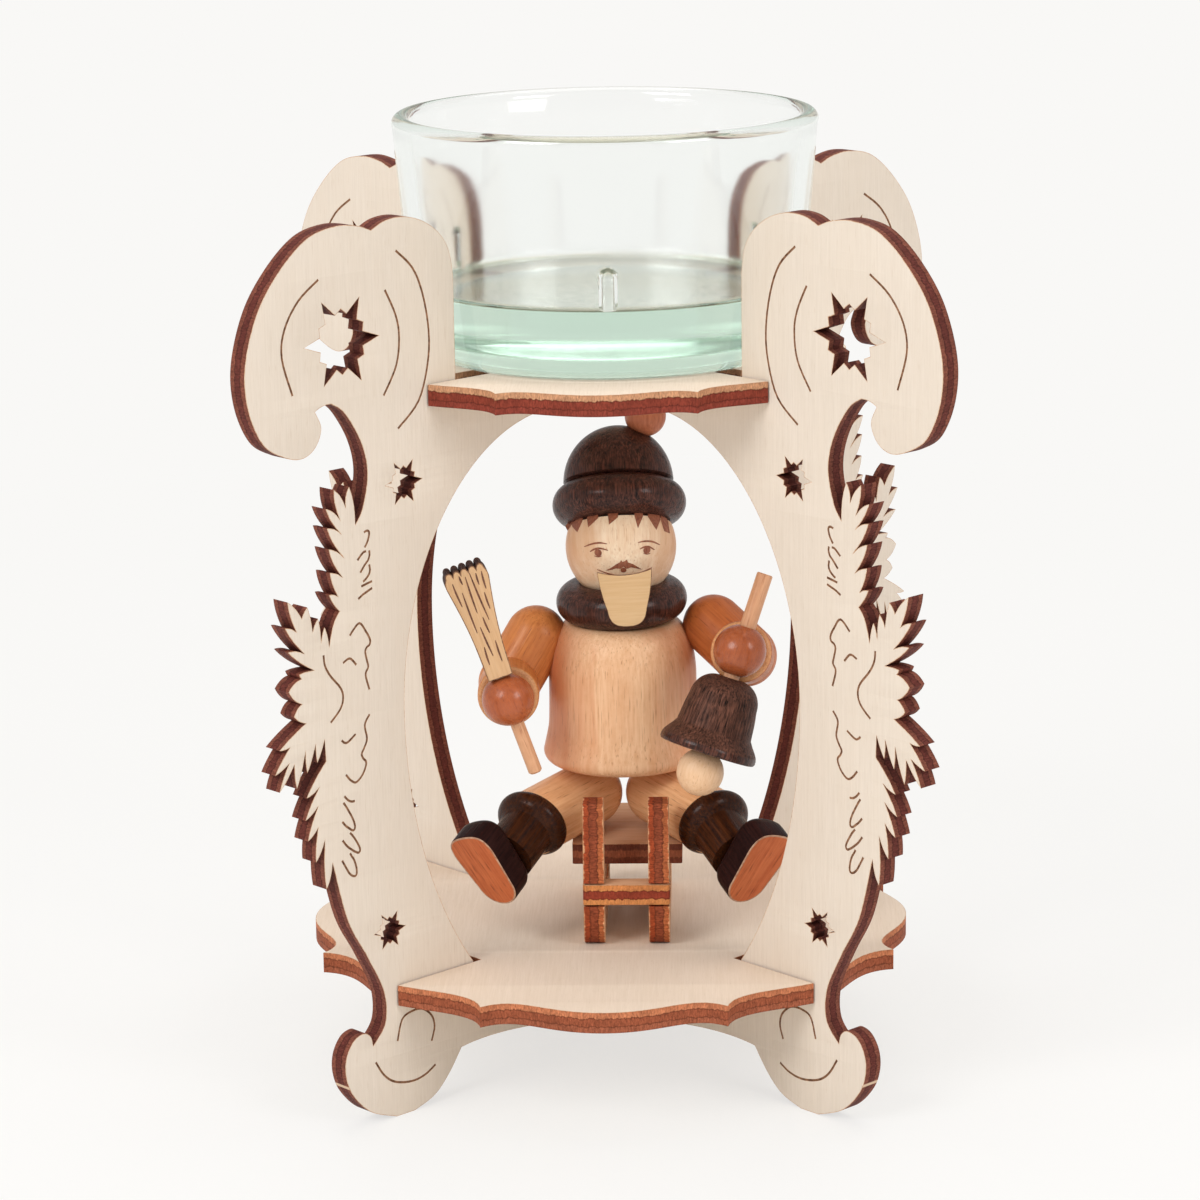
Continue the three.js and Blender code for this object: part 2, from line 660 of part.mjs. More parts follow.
// Widened by a gap, the same outline cuts the pieces that lean on it
function torsoProfile(gap) {
  const neck = TORSO_HEIGHT - NECK_DEPTH;
  const shoulder = TORSO_HEIGHT * 0.6;
  const neckline = TORSO_TOP_RADIUS - 1.6;
  const slope = TORSO_LOW_RADIUS - 0.1 - neckline;
  const outside = [
    ...arc(TORSO_HEM_RADIUS - 1.6, 1.6, 1.6 + gap, 1.6 + gap, -90, 20, 4),
    [TORSO_LOW_RADIUS + 0.25 + gap, TORSO_HEM - 0.4],
    [TORSO_LOW_RADIUS + gap, TORSO_HEM + 1.2],
    ...arc(neckline, shoulder, slope + gap, TORSO_HEIGHT - shoulder + gap, 0, 90, 8),
  ];
  const bore = [
    [NECK_RADIUS + FIT, TORSO_HEIGHT + gap],
    [NECK_RADIUS + FIT, neck - FIT],
    [0, neck - FIT],
  ];
  return [[0, -gap], ...outside, ...bore];
}

// Level and radius where the scarf's outer round meets the hollow that holds the head
function scarfProfile(gap) {
  const roll = SCARF_HEIGHT / 2;
  const ringRadius = SCARF_RADIUS - roll;
  const hollow = HEAD_RADIUS + FIT;
  const span = Math.hypot(ringRadius, HEAD_RISE - roll);
  const toHead = Math.atan2(HEAD_RISE - roll, -ringRadius);
  const opening = Math.acos((span ** 2 + roll ** 2 - hollow ** 2) / (2 * span * roll));
  const edge = toHead - opening;
  const lip = [ringRadius + roll * Math.cos(edge), roll + roll * Math.sin(edge)];
  const hollowFrom = (Math.atan2(lip[1] - HEAD_RISE, lip[0]) * 180) / Math.PI;
  const bore = NECK_RADIUS + FIT;
  const hollowTo = (-Math.acos(bore / hollow) * 180) / Math.PI;
  const wide = roll + gap;
  const outside = arc(ringRadius, roll, wide, wide, -90, (edge * 180) / Math.PI, 9);
  const inside = arc(0, HEAD_RISE, hollow, hollow, hollowFrom, hollowTo, 5);
  return [[bore, -gap], ...outside, ...inside, [bore, -gap]];
}

function hatProfile(gap) {
  const roll = HAT_BRIM_HEIGHT / 2;
  const ringRadius = HAT_BRIM_RADIUS - roll;
  const brim = arc(ringRadius, roll, roll + gap, roll + gap, -90, 64, 7);
  const crown = arc(0, HAT_BRIM_HEIGHT, HAT_CROWN_RADIUS + gap, crownRise + gap, 0, 90, 6);
  return [[0, -gap], ...brim, ...crown];
}

// Leaning flat of the beard: it touches the round of the scarf and the round of the head
function beardFrame() {
  const roll = SCARF_HEIGHT / 2;
  const scarfOut = SCARF_RADIUS - roll;
  const rise = HEAD_RISE - roll;
  const span = Math.hypot(scarfOut, rise);
  const lean = Math.acos((roll - HEAD_RADIUS) / span);
  const tilt = Math.atan2(rise, -scarfOut) - lean;
  const reach = HEAD_RADIUS + FIT + VENEER / 2;
  const slide = -(BEARD_DROP + reach * Math.sin(tilt)) / Math.cos(tilt);
  const out = reach * Math.cos(tilt) - slide * Math.sin(tilt);
  const level = headLevel - BEARD_DROP;
  const normal = vec(0, -Math.cos(tilt), Math.sin(tilt));
  return frameAlong(vec(BEARD_ASIDE, -out, level), normal, vec(0, 0, 1));
}

function beardShape() {
  const top = BEARD_TOP_WIDTH / 2;
  const low = BEARD_LOW_WIDTH / 2;
  const bend = -BEARD_LENGTH * 0.3;
  const turn = -BEARD_LENGTH * 0.68;
  const end = -BEARD_LENGTH;
  const shape = new THREE.Shape();
  shape.moveTo(-top, 0.6);
  shape.quadraticCurveTo(0, -0.7, top, 0.6);
  shape.quadraticCurveTo(top - 0.2, bend, low + 0.15, turn);
  shape.bezierCurveTo(low - 0.1, end * 0.93, low * 0.66, end, 0, end);
  shape.bezierCurveTo(-low * 0.66, end, 0.1 - low, end * 0.93, -low - 0.15, turn);
  shape.quadraticCurveTo(0.2 - top, bend, -top, 0.6);
  return shape;
}

function torsoAt(gap) {
  return turned(torsoProfile(gap)).translate(0, 0, torsoBottom);
}

function scarfAt(gap) {
  return turned(scarfProfile(gap)).translate(0, 0, torsoTop);
}

function hatAt(gap) {
  return turned(hatProfile(gap)).translate(0, 0, hatBottom).applyMatrix4(hatFrame);
}

function addBody() {
  add(figure, 'torso', torsoAt(0), BEECH);
  add(figure, 'scarf', scarfAt(0), STAINED);
  const neckTop = headLevel - HEAD_RADIUS + NECK_DEPTH;
  add(figure, 'neck_dowel', rod(NECK_RADIUS, torsoTop - NECK_DEPTH, neckTop), BEECH);
  const bore = NECK_RADIUS + FIT;
  const boreAngle = (-Math.acos(bore / HEAD_RADIUS) * 180) / Math.PI;
  const head = turned([
    [0, NECK_DEPTH - HEAD_RADIUS + FIT],
    [bore, NECK_DEPTH - HEAD_RADIUS + FIT],
    ...arc(0, 0, HEAD_RADIUS, HEAD_RADIUS, boreAngle, 90, 14),
  ]).translate(0, 0, headLevel);
  const aboveSeat = rod(HEAD_RADIUS + FIT, HAT_SEAT, HEAD_RADIUS * 2, ROUND).applyMatrix4(hatFrame);
  add(figure, 'head', cut(head, aboveSeat), MAPLE);
  const beard = sheet(beardShape(), VENEER).rotateZ(rad(BEARD_ROLL));
  add(figure, 'beard', beard.applyMatrix4(beardFrame()), LIME);
  add(figure, 'hat', hatAt(0), STAINED);
  const pompom = ball(POMPOM_RADIUS).translate(pompomSpot.x, pompomSpot.y, pompomSpot.z);
  add(figure, 'hat_pompom', cut(pompom, hatAt(FIT)), MAPLE);
}

// Arms

function torsoRadiusAt(drop) {
  return mix(TORSO_TOP_RADIUS, TORSO_LOW_RADIUS, drop / TORSO_HEIGHT);
}

function upperArm(shoulder, elbow, gap) {
  const axis = elbow.clone().sub(shoulder);
  const geometry = new THREE.CapsuleGeometry(ARM_RADIUS + gap, axis.length(), 6, 20, 1);
  geometry.rotateX(Math.PI / 2);
  const middle = shoulder.clone().add(elbow).multiplyScalar(0.5);
  return geometry.applyMatrix4(frameAlong(middle, axis, vec(0, 1, 0)));
}

// Sleeve with a round start and a hollow end that holds the hand
function forearm() {
  const hollow = HAND_RADIUS + FIT;
  const start = FOREARM_RADIUS - 0.3;
  const lip = 0.9;
  const end = FOREARM_LENGTH;
  const seat = (Math.asin(HAND_OUT / hollow) * 180) / Math.PI;
  return turned([
    ...arc(0, 0, start, start, -90, 0, 4),
    [FOREARM_RADIUS, end * 0.45],
    ...arc(FOREARM_RADIUS - lip, end - lip, lip, lip, 0, 90, 3),
    ...arc(0, end + HAND_OUT, hollow, hollow, -seat, -90, 4),
  ], 20);
}

// The sleeve is cut clear of the widened pieces that its hand holds
function addArm(name, arm, tilt, lean, clear) {
  const shoulderOut = torsoRadiusAt(arm.drop) + ARM_RADIUS - arm.sink;
  const shoulder = vec(arm.side * shoulderOut, 0, torsoTop - arm.drop);
  const [out, forward, up] = arm.elbow;
  const elbow = shoulder.clone().add(vec(arm.side * out, forward, up));
  const reach = heading(arm.side * arm.out, arm.lift);
  const upper = cut(upperArm(shoulder, elbow, 0), torsoAt(FIT), scarfAt(FIT));
  add(figure, `${name}_upper_arm`, upper, SLEEVE);
  const lower = forearm().applyMatrix4(frameAlong(elbow, reach, vec(0, 0, 1)));
  const hand = elbow.clone().addScaledVector(reach, FOREARM_LENGTH + HAND_OUT);
  const held = clear.map((geometry) => geometry.applyMatrix4(heldFrame(hand, tilt, lean)));
  add(figure, `${name}_forearm`, cut(lower, upperArm(shoulder, elbow, FIT), ...held), SLEEVE);
  return hand;
}

// What a hand holds stands along a tilted axis through the hand
function heldFrame(hand, tilt, lean) {
  const up = Math.cos(rad(tilt));
  const axis = vec(Math.sin(rad(tilt)), up * Math.sin(rad(lean)), up * Math.cos(rad(lean)));
  return frameAlong(hand, axis, vec(0, -1, 0));
}

// Broom in its own plane, widening upward to a ragged end
function broomShape(foot) {
  const low = BROOM_LOW_WIDTH / 2;
  const top = BROOM_TOP_WIDTH / 2;
  const end = foot + BROOM_LENGTH;
  const middle = foot + BROOM_LENGTH * 0.41;
  const flare = foot + BROOM_LENGTH * 0.56;
  const shape = new THREE.Shape();
  shape.moveTo(-low, foot);
  shape.lineTo(low, foot);
  shape.bezierCurveTo(low + 0.1, middle, low + 0.5, flare, top, end - 2.2);
  shape.quadraticCurveTo(top + 0.1, end - 1.3, top - 0.3, end - TUFT_DEPTH);
  for (let i = 0; i < BROOM_TUFTS; i += 1) {
    const width = (2 * (top - 0.3)) / BROOM_TUFTS;
    const from = top - 0.3 - i * width;
    shape.quadraticCurveTo(from - width * 0.3, end + 0.5, from - width * 0.7, end - TUFT_DEPTH * 0.3);
    shape.lineTo(from - width, end - TUFT_DEPTH);
  }
  shape.quadraticCurveTo(-top - 0.1, end - 1.3, -top, end - 2.2);
  shape.bezierCurveTo(-low - 0.5, flare, -low - 0.1, middle, -low, foot);
  return shape;
}

function stickAt(gap) {
  return rod(STICK_RADIUS + gap, -STICK_BELOW, STICK_ABOVE, 12);
}

function addBroom(hand) {
  const frame = heldFrame(hand, BROOM_TILT, 0);
  const place = (geometry) => geometry.applyMatrix4(frame);
  add(figure, 'broom_hand', place(drilledBall(HAND_RADIUS, STICK_RADIUS + FIT)), GLOVE);
  add(figure, 'broom_stick', place(stickAt(0)), BEECH);
  const broom = sheet(broomShape(HAND_RADIUS + FIT), PLY, 3);
  broom.rotateX(Math.PI / 2);
  broom.rotateZ(rad(BROOM_TURN));
  broom.rotateX(rad(-BROOM_LEAN));
  broom.rotateY(rad(-BROOM_SWING));
  add(figure, 'broom_head', place(broom), LIME);
}

const bellTop = -HAND_RADIUS - BELL_HANG;
const bellFoot = bellTop - BELL_HEIGHT;

function bellAt(gap) {
  const bore = HANDLE_RADIUS + FIT;
  const domeOut = BELL_SHOULDER_RADIUS * 0.65;
  const domeUp = BELL_HEIGHT * 0.32;
  const crown = BELL_HEIGHT - domeUp;
  const profile = [
    [0, -gap],
    [BELL_RIM_RADIUS - 0.3, -gap],
    [BELL_RIM_RADIUS + gap, 0.4],
    [BELL_RIM_RADIUS + gap, BELL_RIM_HEIGHT * 0.32],
    [BELL_WAIST_RADIUS + 0.1 + gap, BELL_RIM_HEIGHT],
    [BELL_WAIST_RADIUS + gap, BELL_RIM_HEIGHT + 0.5],
    [mix(BELL_WAIST_RADIUS, BELL_SHOULDER_RADIUS, 0.4) + gap, mix(BELL_RIM_HEIGHT, crown, 0.6)],
    ...arc(BELL_SHOULDER_RADIUS - domeOut, crown, domeOut + gap, domeUp + gap, 0, 90, 5),
    [bore, BELL_HEIGHT + gap],
    [bore, BELL_HEIGHT - HANDLE_DEPTH - FIT],
    [0, BELL_HEIGHT - HANDLE_DEPTH - FIT],
  ];
  return turned(profile).translate(0, 0, bellFoot);
}

function handleAt(gap) {
  return rod(HANDLE_RADIUS + gap, bellTop - HANDLE_DEPTH, HANDLE_ABOVE);
}

function addBell(hand) {
  const frame = heldFrame(hand, BELL_TILT, BELL_LEAN);
  const place = (geometry) => geometry.applyMatrix4(frame);
  add(figure, 'bell_hand', place(drilledBall(HAND_RADIUS, HANDLE_RADIUS + FIT)), GLOVE);
  add(figure, 'bell_handle', place(handleAt(0)), BEECH);
  add(figure, 'bell', place(bellAt(0)), STAINED);
  const flatAngle = Math.acos(CLAPPER_FLAT_RADIUS / CLAPPER_RADIUS);
  const flat = CLAPPER_RADIUS * Math.sin(flatAngle);
  const clapper = turned([
    ...arc(0, 0, CLAPPER_RADIUS, CLAPPER_RADIUS, -90, (flatAngle * 180) / Math.PI, 11),
    [0, flat],
  ], 20);
  clapper.translate(0, 0, bellFoot - CLAPPER_DROP - flat);
  add(figure, 'bell_clapper', place(clapper), MAPLE);
}

// Legs

function bootProfile(gap) {
  const roll = BOOT_CUFF_LENGTH / 2;
  const ringRadius = BOOT_CUFF_RADIUS - roll;
  const end = BOOT_CUFF_LENGTH + BOOT_SHAFT_LENGTH;
  const cuff = arc(ringRadius, roll, roll + gap, roll + gap, -90, 55, 7);
  return [
    [0, -gap],
    ...cuff,
    [BOOT_SHAFT_RADIUS + gap, BOOT_CUFF_LENGTH],
    [BOOT_SHAFT_RADIUS + gap, end],
    [0, end],
  ];
}

// Sole outline: round heel below the leg, wider blunt toe above it
function footShape() {
  const heel = -FOOT_LENGTH * 0.38;
  const toe = FOOT_LENGTH + heel;
  const half = FOOT_WIDTH / 2;
  const back = half * 0.86;
  const shape = new THREE.Shape();
  shape.moveTo(-back, heel + back);
  shape.absarc(0, heel + back, back, Math.PI, Math.PI * 2, false);
  shape.lineTo(half, toe - 3.4);
  shape.bezierCurveTo(half, toe - 0.9, half * 0.75, toe, 0, toe);
  shape.bezierCurveTo(-half * 0.75, toe, -half, toe - 0.9, -half, toe - 3.4);
  shape.lineTo(-back, heel + back);
  return shape;
}

function addLeg(name, side) {
  const hip = vec(side * (THIGH_RADIUS + FIT), -HIP_FORWARD, thighLevel);
  const thighAxis = heading(side * LEG_SPLAY, -LEG_DROP);
  const cuffMiddle = hip.clone().addScaledVector(thighAxis, THIGH_LENGTH);
  const bootAxis = heading(side * BOOT_SPLAY, -BOOT_DROP);
  const level = vec(0, 0, 1);
  const toeUp = level.clone().projectOnPlane(bootAxis).applyAxisAngle(bootAxis, side * rad(-TOE_TURN));
  const bootStart = cuffMiddle.clone().addScaledVector(bootAxis, -BOOT_CUFF_LENGTH / 2);
  const bootFrame = frameAlong(bootStart, bootAxis, toeUp);
  const thigh = turned([
    ...arc(0, 0, THIGH_RADIUS, THIGH_RADIUS, -90, 0, 6),
    [THIGH_RADIUS, THIGH_LENGTH],
    [0, THIGH_LENGTH],
  ], 24).applyMatrix4(frameAlong(hip, thighAxis, vec(0, 0, 1)));
  const bootWide = turned(bootProfile(FIT)).applyMatrix4(bootFrame);
  const seatWide = seatAt(FIT).translate(-FIGURE_X, -FIGURE_Y, 0);
  add(figure, `${name}_thigh`, cut(thigh, bootWide, seatWide), BEECH);
  add(figure, `${name}_boot`, turned(bootProfile(0)).applyMatrix4(bootFrame), STAINED);
  const footStart = BOOT_CUFF_LENGTH + BOOT_SHAFT_LENGTH + FIT;
  const foot = sheet(footShape(), FOOT_THICKNESS);
  foot.translate(0, 0, footStart + FOOT_THICKNESS / 2);
  add(figure, `${name}_foot`, foot.applyMatrix4(bootFrame), STAINED);
}

addPanels();
addPlates();
addCup();
addSled();
addBody();
addBroom(addArm('broom', BROOM_ARM, BROOM_TILT, 0, [stickAt(FIT)]));
addBell(addArm('bell', BELL_ARM, BELL_TILT, BELL_LEAN, [handleAt(2 * FIT), bellAt(FIT)]));
addLeg('left', -1);
addLeg('right', 1);

export default holder;
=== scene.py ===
import math

import bmesh
import bpy
from mathutils import Matrix, Vector, geometry


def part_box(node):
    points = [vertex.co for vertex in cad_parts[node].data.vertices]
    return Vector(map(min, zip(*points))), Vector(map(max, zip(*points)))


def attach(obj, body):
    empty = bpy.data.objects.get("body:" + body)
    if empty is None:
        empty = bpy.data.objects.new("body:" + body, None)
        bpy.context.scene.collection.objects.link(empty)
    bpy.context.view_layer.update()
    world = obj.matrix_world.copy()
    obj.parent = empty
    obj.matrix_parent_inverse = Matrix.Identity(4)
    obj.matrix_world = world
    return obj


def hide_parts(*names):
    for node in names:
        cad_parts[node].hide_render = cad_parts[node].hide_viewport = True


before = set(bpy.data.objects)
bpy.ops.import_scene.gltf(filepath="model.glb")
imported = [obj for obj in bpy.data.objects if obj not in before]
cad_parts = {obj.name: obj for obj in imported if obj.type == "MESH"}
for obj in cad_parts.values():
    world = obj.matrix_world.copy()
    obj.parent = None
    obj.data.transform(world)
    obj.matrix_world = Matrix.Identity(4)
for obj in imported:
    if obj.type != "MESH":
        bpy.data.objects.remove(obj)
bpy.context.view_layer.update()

# Sizes in millimetres
MM = 0.001
PLY, FIT = 3.0, 0.25
SCORE_DEPTH, SCORE_WIDTH = 0.1, 0.3
PRINT_DEPTH, PRINT_LIFT = 0.08, 0.02
BEARD_HALF = 0.5
THIGH_RADIUS, HEAD_RADIUS, POMPOM_RADIUS = 4.8, 8.0, 3.0
ARM_RADIUS, HAND_RADIUS = 4.5, 3.75
TORSO_HEIGHT, HEAD_RISE = 21.0, 10.9
LOBE_LOW = 14.5
CUP_HEIGHT, CUP_FOOT, CUP_FLARE, CUP_WALL, CUP_FLOOR = 34.0, 27.2, 2.8, 2.6, 9.8
CUP_RIM = CUP_FOOT + CUP_FLARE
CUP_EDGE = CUP_FOOT + CUP_FLARE * LOBE_LOW / CUP_HEIGHT + 0.85
SHARP = math.radians(35.0)
BACKDROP = (0.947, 0.939, 0.922, 1.0)


# Places taken from the frame, in millimetres

def heights(node):
    low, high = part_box(node)
    return low.z / MM, high.z / MM


def centre(node):
    low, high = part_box(node)
    return (low + high) / 2 / MM


FOOT_HEIGHT, BASE_TOP = heights("base_plate")
TOP_UNDER, TOP_TOP = heights("top_plate")
SEAT_TOP = heights("sled_seat")[1]
THIGH_LEVEL = SEAT_TOP + FIT + THIGH_RADIUS
TORSO_LOW = heights("torso")[0]
TORSO_TOP = TORSO_LOW + TORSO_HEIGHT
HEAD_LEVEL = TORSO_TOP + HEAD_RISE
POMPOM = Vector((*centre("hat_pompom").xy, heights("hat_pompom")[1] - POMPOM_RADIUS))
FIGURE = Vector((*centre("torso").xy, 0.0))
SLED = centre("sled_seat")
CUP = centre("glass_cup")


# Node trees

class Nodes:
    """Adds nodes to a tree and links what feeds them."""

    def __init__(self, tree):
        self.nodes, self.links = tree.nodes, tree.links

    def put(self, socket, value):
        if isinstance(value, bpy.types.NodeSocket):
            self.links.new(value, socket)
        else:
            socket.default_value = value

    def node(self, kind, inputs, **settings):
        made = self.nodes.new(kind)
        for key, value in settings.items():
            setattr(made, key, value)
        for key, value in inputs.items():
            self.put(made.inputs[key], value)
        return made

    def math(self, how, a, b=0.0):
        return self.node("ShaderNodeMath", {0: a, 1: b}, operation=how).outputs[0]

    def result(self, made, kind="Material Output", socket="Surface"):
        self.links.new(made.outputs[0], self.nodes[kind].inputs[socket])


class Shade(Nodes):
    """A material and the nodes that feed its surface shader."""

    def __init__(self, name):
        self.mat = bpy.data.materials.new(name)
        self.mat.use_nodes = True
        super().__init__(self.mat.node_tree)
        self.bsdf = self.nodes["Principled BSDF"]

    def place(self):
        """Millimetres in the piece's own frame."""
        spot = self.node("ShaderNodeTexCoord", {})
        return self.node("ShaderNodeVectorMath", {0: spot.outputs["Object"], "Scale": 1000.0},
                         operation="SCALE").outputs[0]

    def shifted(self, spot):
        """The same, moved by a different amount for each piece."""
        info = self.node("ShaderNodeObjectInfo", {})
        far = self.node("ShaderNodeVectorMath", {0: info.outputs["Random"], 1: (61.0, 47.0, 83.0)},
                        operation="MULTIPLY")
        return self.node("ShaderNodeVectorMath", {0: spot, 1: far.outputs[0]}, operation="ADD").outputs[0]

    def noise(self, spot, scale, detail=3.0, rough=0.55, bend=0.0):
        wide = self.node("ShaderNodeVectorMath", {0: spot, 1: scale}, operation="MULTIPLY")
        return self.node("ShaderNodeTexNoise", {"Vector": wide.outputs[0], "Scale": 1.0, "Detail": detail,
                                                "Roughness": rough, "Distortion": bend}).outputs[0]

    def span(self, value, low, high, to_low=0.0, to_high=1.0):
        return self.node("ShaderNodeMapRange", {"Value": value, "From Min": low, "From Max": high,
                                                "To Min": to_low, "To Max": to_high}).outputs[0]

    def ramp(self, value, stops):
        made = self.node("ShaderNodeValToRGB", {0: value})
        ends = made.color_ramp.elements
        while len(ends) < len(stops):
            ends.new(1.0)
        for end, (at, colour) in zip(ends, stops):
            end.position = at
            end.color = (*colour, 1.0)
        return made.outputs[0]

    def mix(self, amount, a, b, how="MIX"):
        made = self.node("ShaderNodeMix", {}, data_type="RGBA", blend_type=how)
        self.put(made.inputs[0], amount)
        for slot, value in ((6, a), (7, b)):
            self.put(made.inputs[slot], value if isinstance(value, bpy.types.NodeSocket) else (*value, 1.0))
        return made.outputs[2]

    def relief(self, height, strength, depth):
        return self.node("ShaderNodeBump", {"Height": height, "Strength": strength,
                                            "Distance": depth * MM}).outputs[0]

    def finish(self, colour, rough, normal=None, **constants):
        self.put(self.bsdf.inputs["Base Color"], colour)
        self.put(self.bsdf.inputs["Roughness"], rough)
        if normal is not None:
            self.put(self.bsdf.inputs["Normal"], normal)
        for key, value in constants.items():
            self.bsdf.inputs[key.replace("_", " ")].default_value = value
        return self.mat


def along(axis, across, length):
    scale = [across, across, across]
    scale[axis] = length
    return tuple(scale)


def wood(name, pale, deep, fleck, axis=2, streak=2.6, pores=0.6, rough=(0.35, 0.5), relief=0.25, side_shade=None,
         edge=(0.34, 0.62), gloss=0.3, **constants):
    """Turned wood: fine fibres, slow bands and dark pores along one axis, and, when asked, painted shade
    darker toward the left and right sides.
    """
    s = Shade(name)
    own = s.place()
    spot = s.shifted(own)
    fibre = s.noise(spot, along(axis, streak, 0.11), 4.0, 0.62, 0.25)
    band = s.noise(spot, along(axis, 0.32, 0.025), 2.0, 0.5, 0.6)
    pore = s.span(s.noise(spot, along(axis, 5.2, 0.26), 2.0, 0.5), 0.61, 0.71)
    mottle = s.noise(spot, (0.9, 0.9, 0.9), 3.0, 0.6)
    colour = s.ramp(fibre, [(edge[0], deep), (edge[1], pale)])
    colour = s.mix(s.span(band, 0.35, 0.68, 0.0, 0.55), colour, deep)
    colour = s.mix(s.span(mottle, 0.35, 0.7, 0.0, 0.35), colour, pale)
    # Painted shade: the colour darkens toward both sides of the piece, with a ragged edge from the bands.
    if side_shade:
        aside = s.math("ABSOLUTE", s.node("ShaderNodeSeparateXYZ", {0: own}).outputs[0])
        ragged = s.math("ADD", aside, s.span(band, 0.3, 0.7, -2.0, 2.0))
        colour = s.mix(s.span(ragged, side_shade[1], side_shade[2], 0.0, 0.8), colour, side_shade[0])
    colour = s.mix(s.math("MULTIPLY", pore, pores), colour, fleck)
    height = s.math("SUBTRACT", fibre, pore)
    return s.finish(colour, s.span(fibre, 0.3, 0.7, rough[1], rough[0]), s.relief(height, relief, 0.12),
                    Specular_IOR_Level=gloss, **constants)


def ply_face(name, axis, pale, deep, tint):
    """Sanded birch veneer with faint fibres along one axis of the sheet."""
    s = Shade(name)
    spot = s.shifted(s.place())
    fibre = s.noise(spot, along(axis, 4.2, 0.14), 4.0, 0.6, 0.15)
    flame = s.noise(spot, along(axis, 0.26, 0.05), 3.0, 0.55, 0.8)
    dash = s.span(s.noise(spot, along(axis, 5.6, 0.42), 2.0, 0.5), 0.61, 0.74)
    colour = s.ramp(fibre, [(0.3, deep), (0.66, pale)])
    colour = s.mix(s.span(flame, 0.4, 0.7, 0.0, 0.4), colour, tint)
    colour = s.mix(s.math("MULTIPLY", dash, 0.2), colour, (0.5, 0.36, 0.24))
    return s.finish(colour, s.span(fibre, 0.3, 0.7, 0.8, 0.66), s.relief(fibre, 0.2, 0.05),
                    Specular_IOR_Level=0.2)


def ply_edge(name, low, core, top=None, streaks=(0.72, 1.14), half=PLY / 2, tab=None, rim=None):
    """Laser-cut edge: a core between two outer layers, dark glue lines, burnt streaks and a pale tab."""
    s = Shade(name)
    spot = s.place()
    across, level, depth = s.node("ShaderNodeSeparateXYZ", {0: spot}).outputs
    wave = s.span(s.noise(spot, (1.7, 1.7, 0.5), 3.0), 0.3, 0.7, -0.055, 0.055)
    layer = s.math("ADD", s.span(depth, -half, half), wave)
    glue = tuple(c * 0.5 for c in core)
    top = top or low
    first, last = rim or tuple(c * 0.7 for c in low), rim or tuple(c * 0.8 for c in top)
    colour = s.ramp(layer, [(0.0, first), (0.07, low), (0.26, low), (0.31, glue), (0.36, core),
                            (0.64, core), (0.69, glue), (0.74, top), (0.94, top), (1.0, last)])
    burn = s.noise(spot, (4.6, 4.6, 1.6), 5.0, 0.7)
    soot = s.noise(spot, (0.35, 0.35, 0.35), 3.0, 0.6)
    dull, bright = streaks
    colour = s.mix(1.0, colour, s.ramp(burn, [(0.32, (dull,) * 3), (0.66, (bright,) * 3)]), "MULTIPLY")
    colour = s.mix(s.span(soot, 0.45, 0.75, 0.0, 0.4), colour, glue)
    if tab:
        near = s.span(s.math("ABSOLUTE", s.math("SUBTRACT", level, tab[1])), 0.16, 0.3, 1.0, 0.0)
        bare = s.math("MULTIPLY", near, s.math("GREATER_THAN", across, tab[0]))
        colour = s.mix(bare, colour, (0.66, 0.48, 0.33))
    return s.finish(colour, s.span(burn, 0.3, 0.7, 0.75, 0.55), s.relief(burn, 0.4, 0.12),
                    Specular_IOR_Level=0.12)


def scorch(name, pale, burnt):
    """Narrow browned line on the face beside a cut."""
    s = Shade(name)
    spot = s.place()
    heat = s.noise(spot, (1.4, 1.4, 1.4), 4.0, 0.65)
    return s.finish(s.ramp(heat, [(0.34, burnt), (0.66, pale)]), s.span(heat, 0.3, 0.7, 0.75, 0.6),
                    s.relief(heat, 0.2, 0.05), Specular_IOR_Level=0.3)


def ink(name, dark, worn):
    """Burnt or printed line that lets the grain show a little."""
    s = Shade(name)
    spot = s.place()
    grain = s.noise(spot, (3.0, 3.0, 0.8), 3.0, 0.6)
    return s.finish(s.ramp(grain, [(0.36, dark), (0.7, worn)]), s.span(grain, 0.3, 0.7, 0.65, 0.5),
                    s.relief(grain, 0.15, 0.04))


BIRCH = ply_face("birch_face", 1, (0.755, 0.66, 0.56), (0.7, 0.605, 0.505), (0.73, 0.625, 0.515))
BIRCH_FLAT = ply_face("birch_plate", 1, (0.8, 0.67, 0.55), (0.74, 0.61, 0.485), (0.77, 0.635, 0.505))
# The panel edges are darker than the plate edges: their burnt colour with painted shade added, as they face
# sideways and inward.
SHADED_BIRCH_EDGE = ply_edge("birch_edge_shaded", (0.205, 0.064, 0.04), (0.125, 0.03, 0.022), streaks=(0.48, 1.4),
                      tab=(CUP_EDGE + 17.0, 6.4))
PLATE_EDGE = ply_edge("plate_edge", (0.34, 0.1, 0.05), (0.31, 0.083, 0.038), (0.53, 0.185, 0.085),
                      (0.52, 1.36))
SHELF_EDGE = ply_edge("shelf_edge", (0.24, 0.045, 0.028), (0.23, 0.042, 0.024), (0.55, 0.28, 0.15),
                      (0.54, 1.32))
BIRCH_RIM = scorch("birch_scorch", (0.72, 0.53, 0.37), (0.46, 0.24, 0.12))
SCORE = scorch("scored_line", (0.36, 0.18, 0.095), (0.09, 0.036, 0.018))
SLED_FACE = ply_face("sled_face", 0, (0.72, 0.46, 0.29), (0.58, 0.32, 0.18), (0.64, 0.38, 0.22))
RUNNER_EDGE = ply_edge("runner_edge", (0.33, 0.06, 0.02), (0.26, 0.06, 0.026), (0.43, 0.12, 0.043),
                       (0.42, 1.45), rim=(0.72, 0.4, 0.21))
BAR_EDGE = ply_edge("bar_edge", (0.63, 0.245, 0.08), (0.28, 0.046, 0.023), (0.66, 0.25, 0.08), (0.65, 1.2))
SEAT_EDGE = ply_edge("seat_edge", (0.22, 0.058, 0.03), (0.38, 0.115, 0.055), (0.17, 0.048, 0.026),
                     (0.6, 1.25))
SLED_RIM = scorch("sled_scorch", (0.72, 0.42, 0.23), (0.4, 0.15, 0.06))
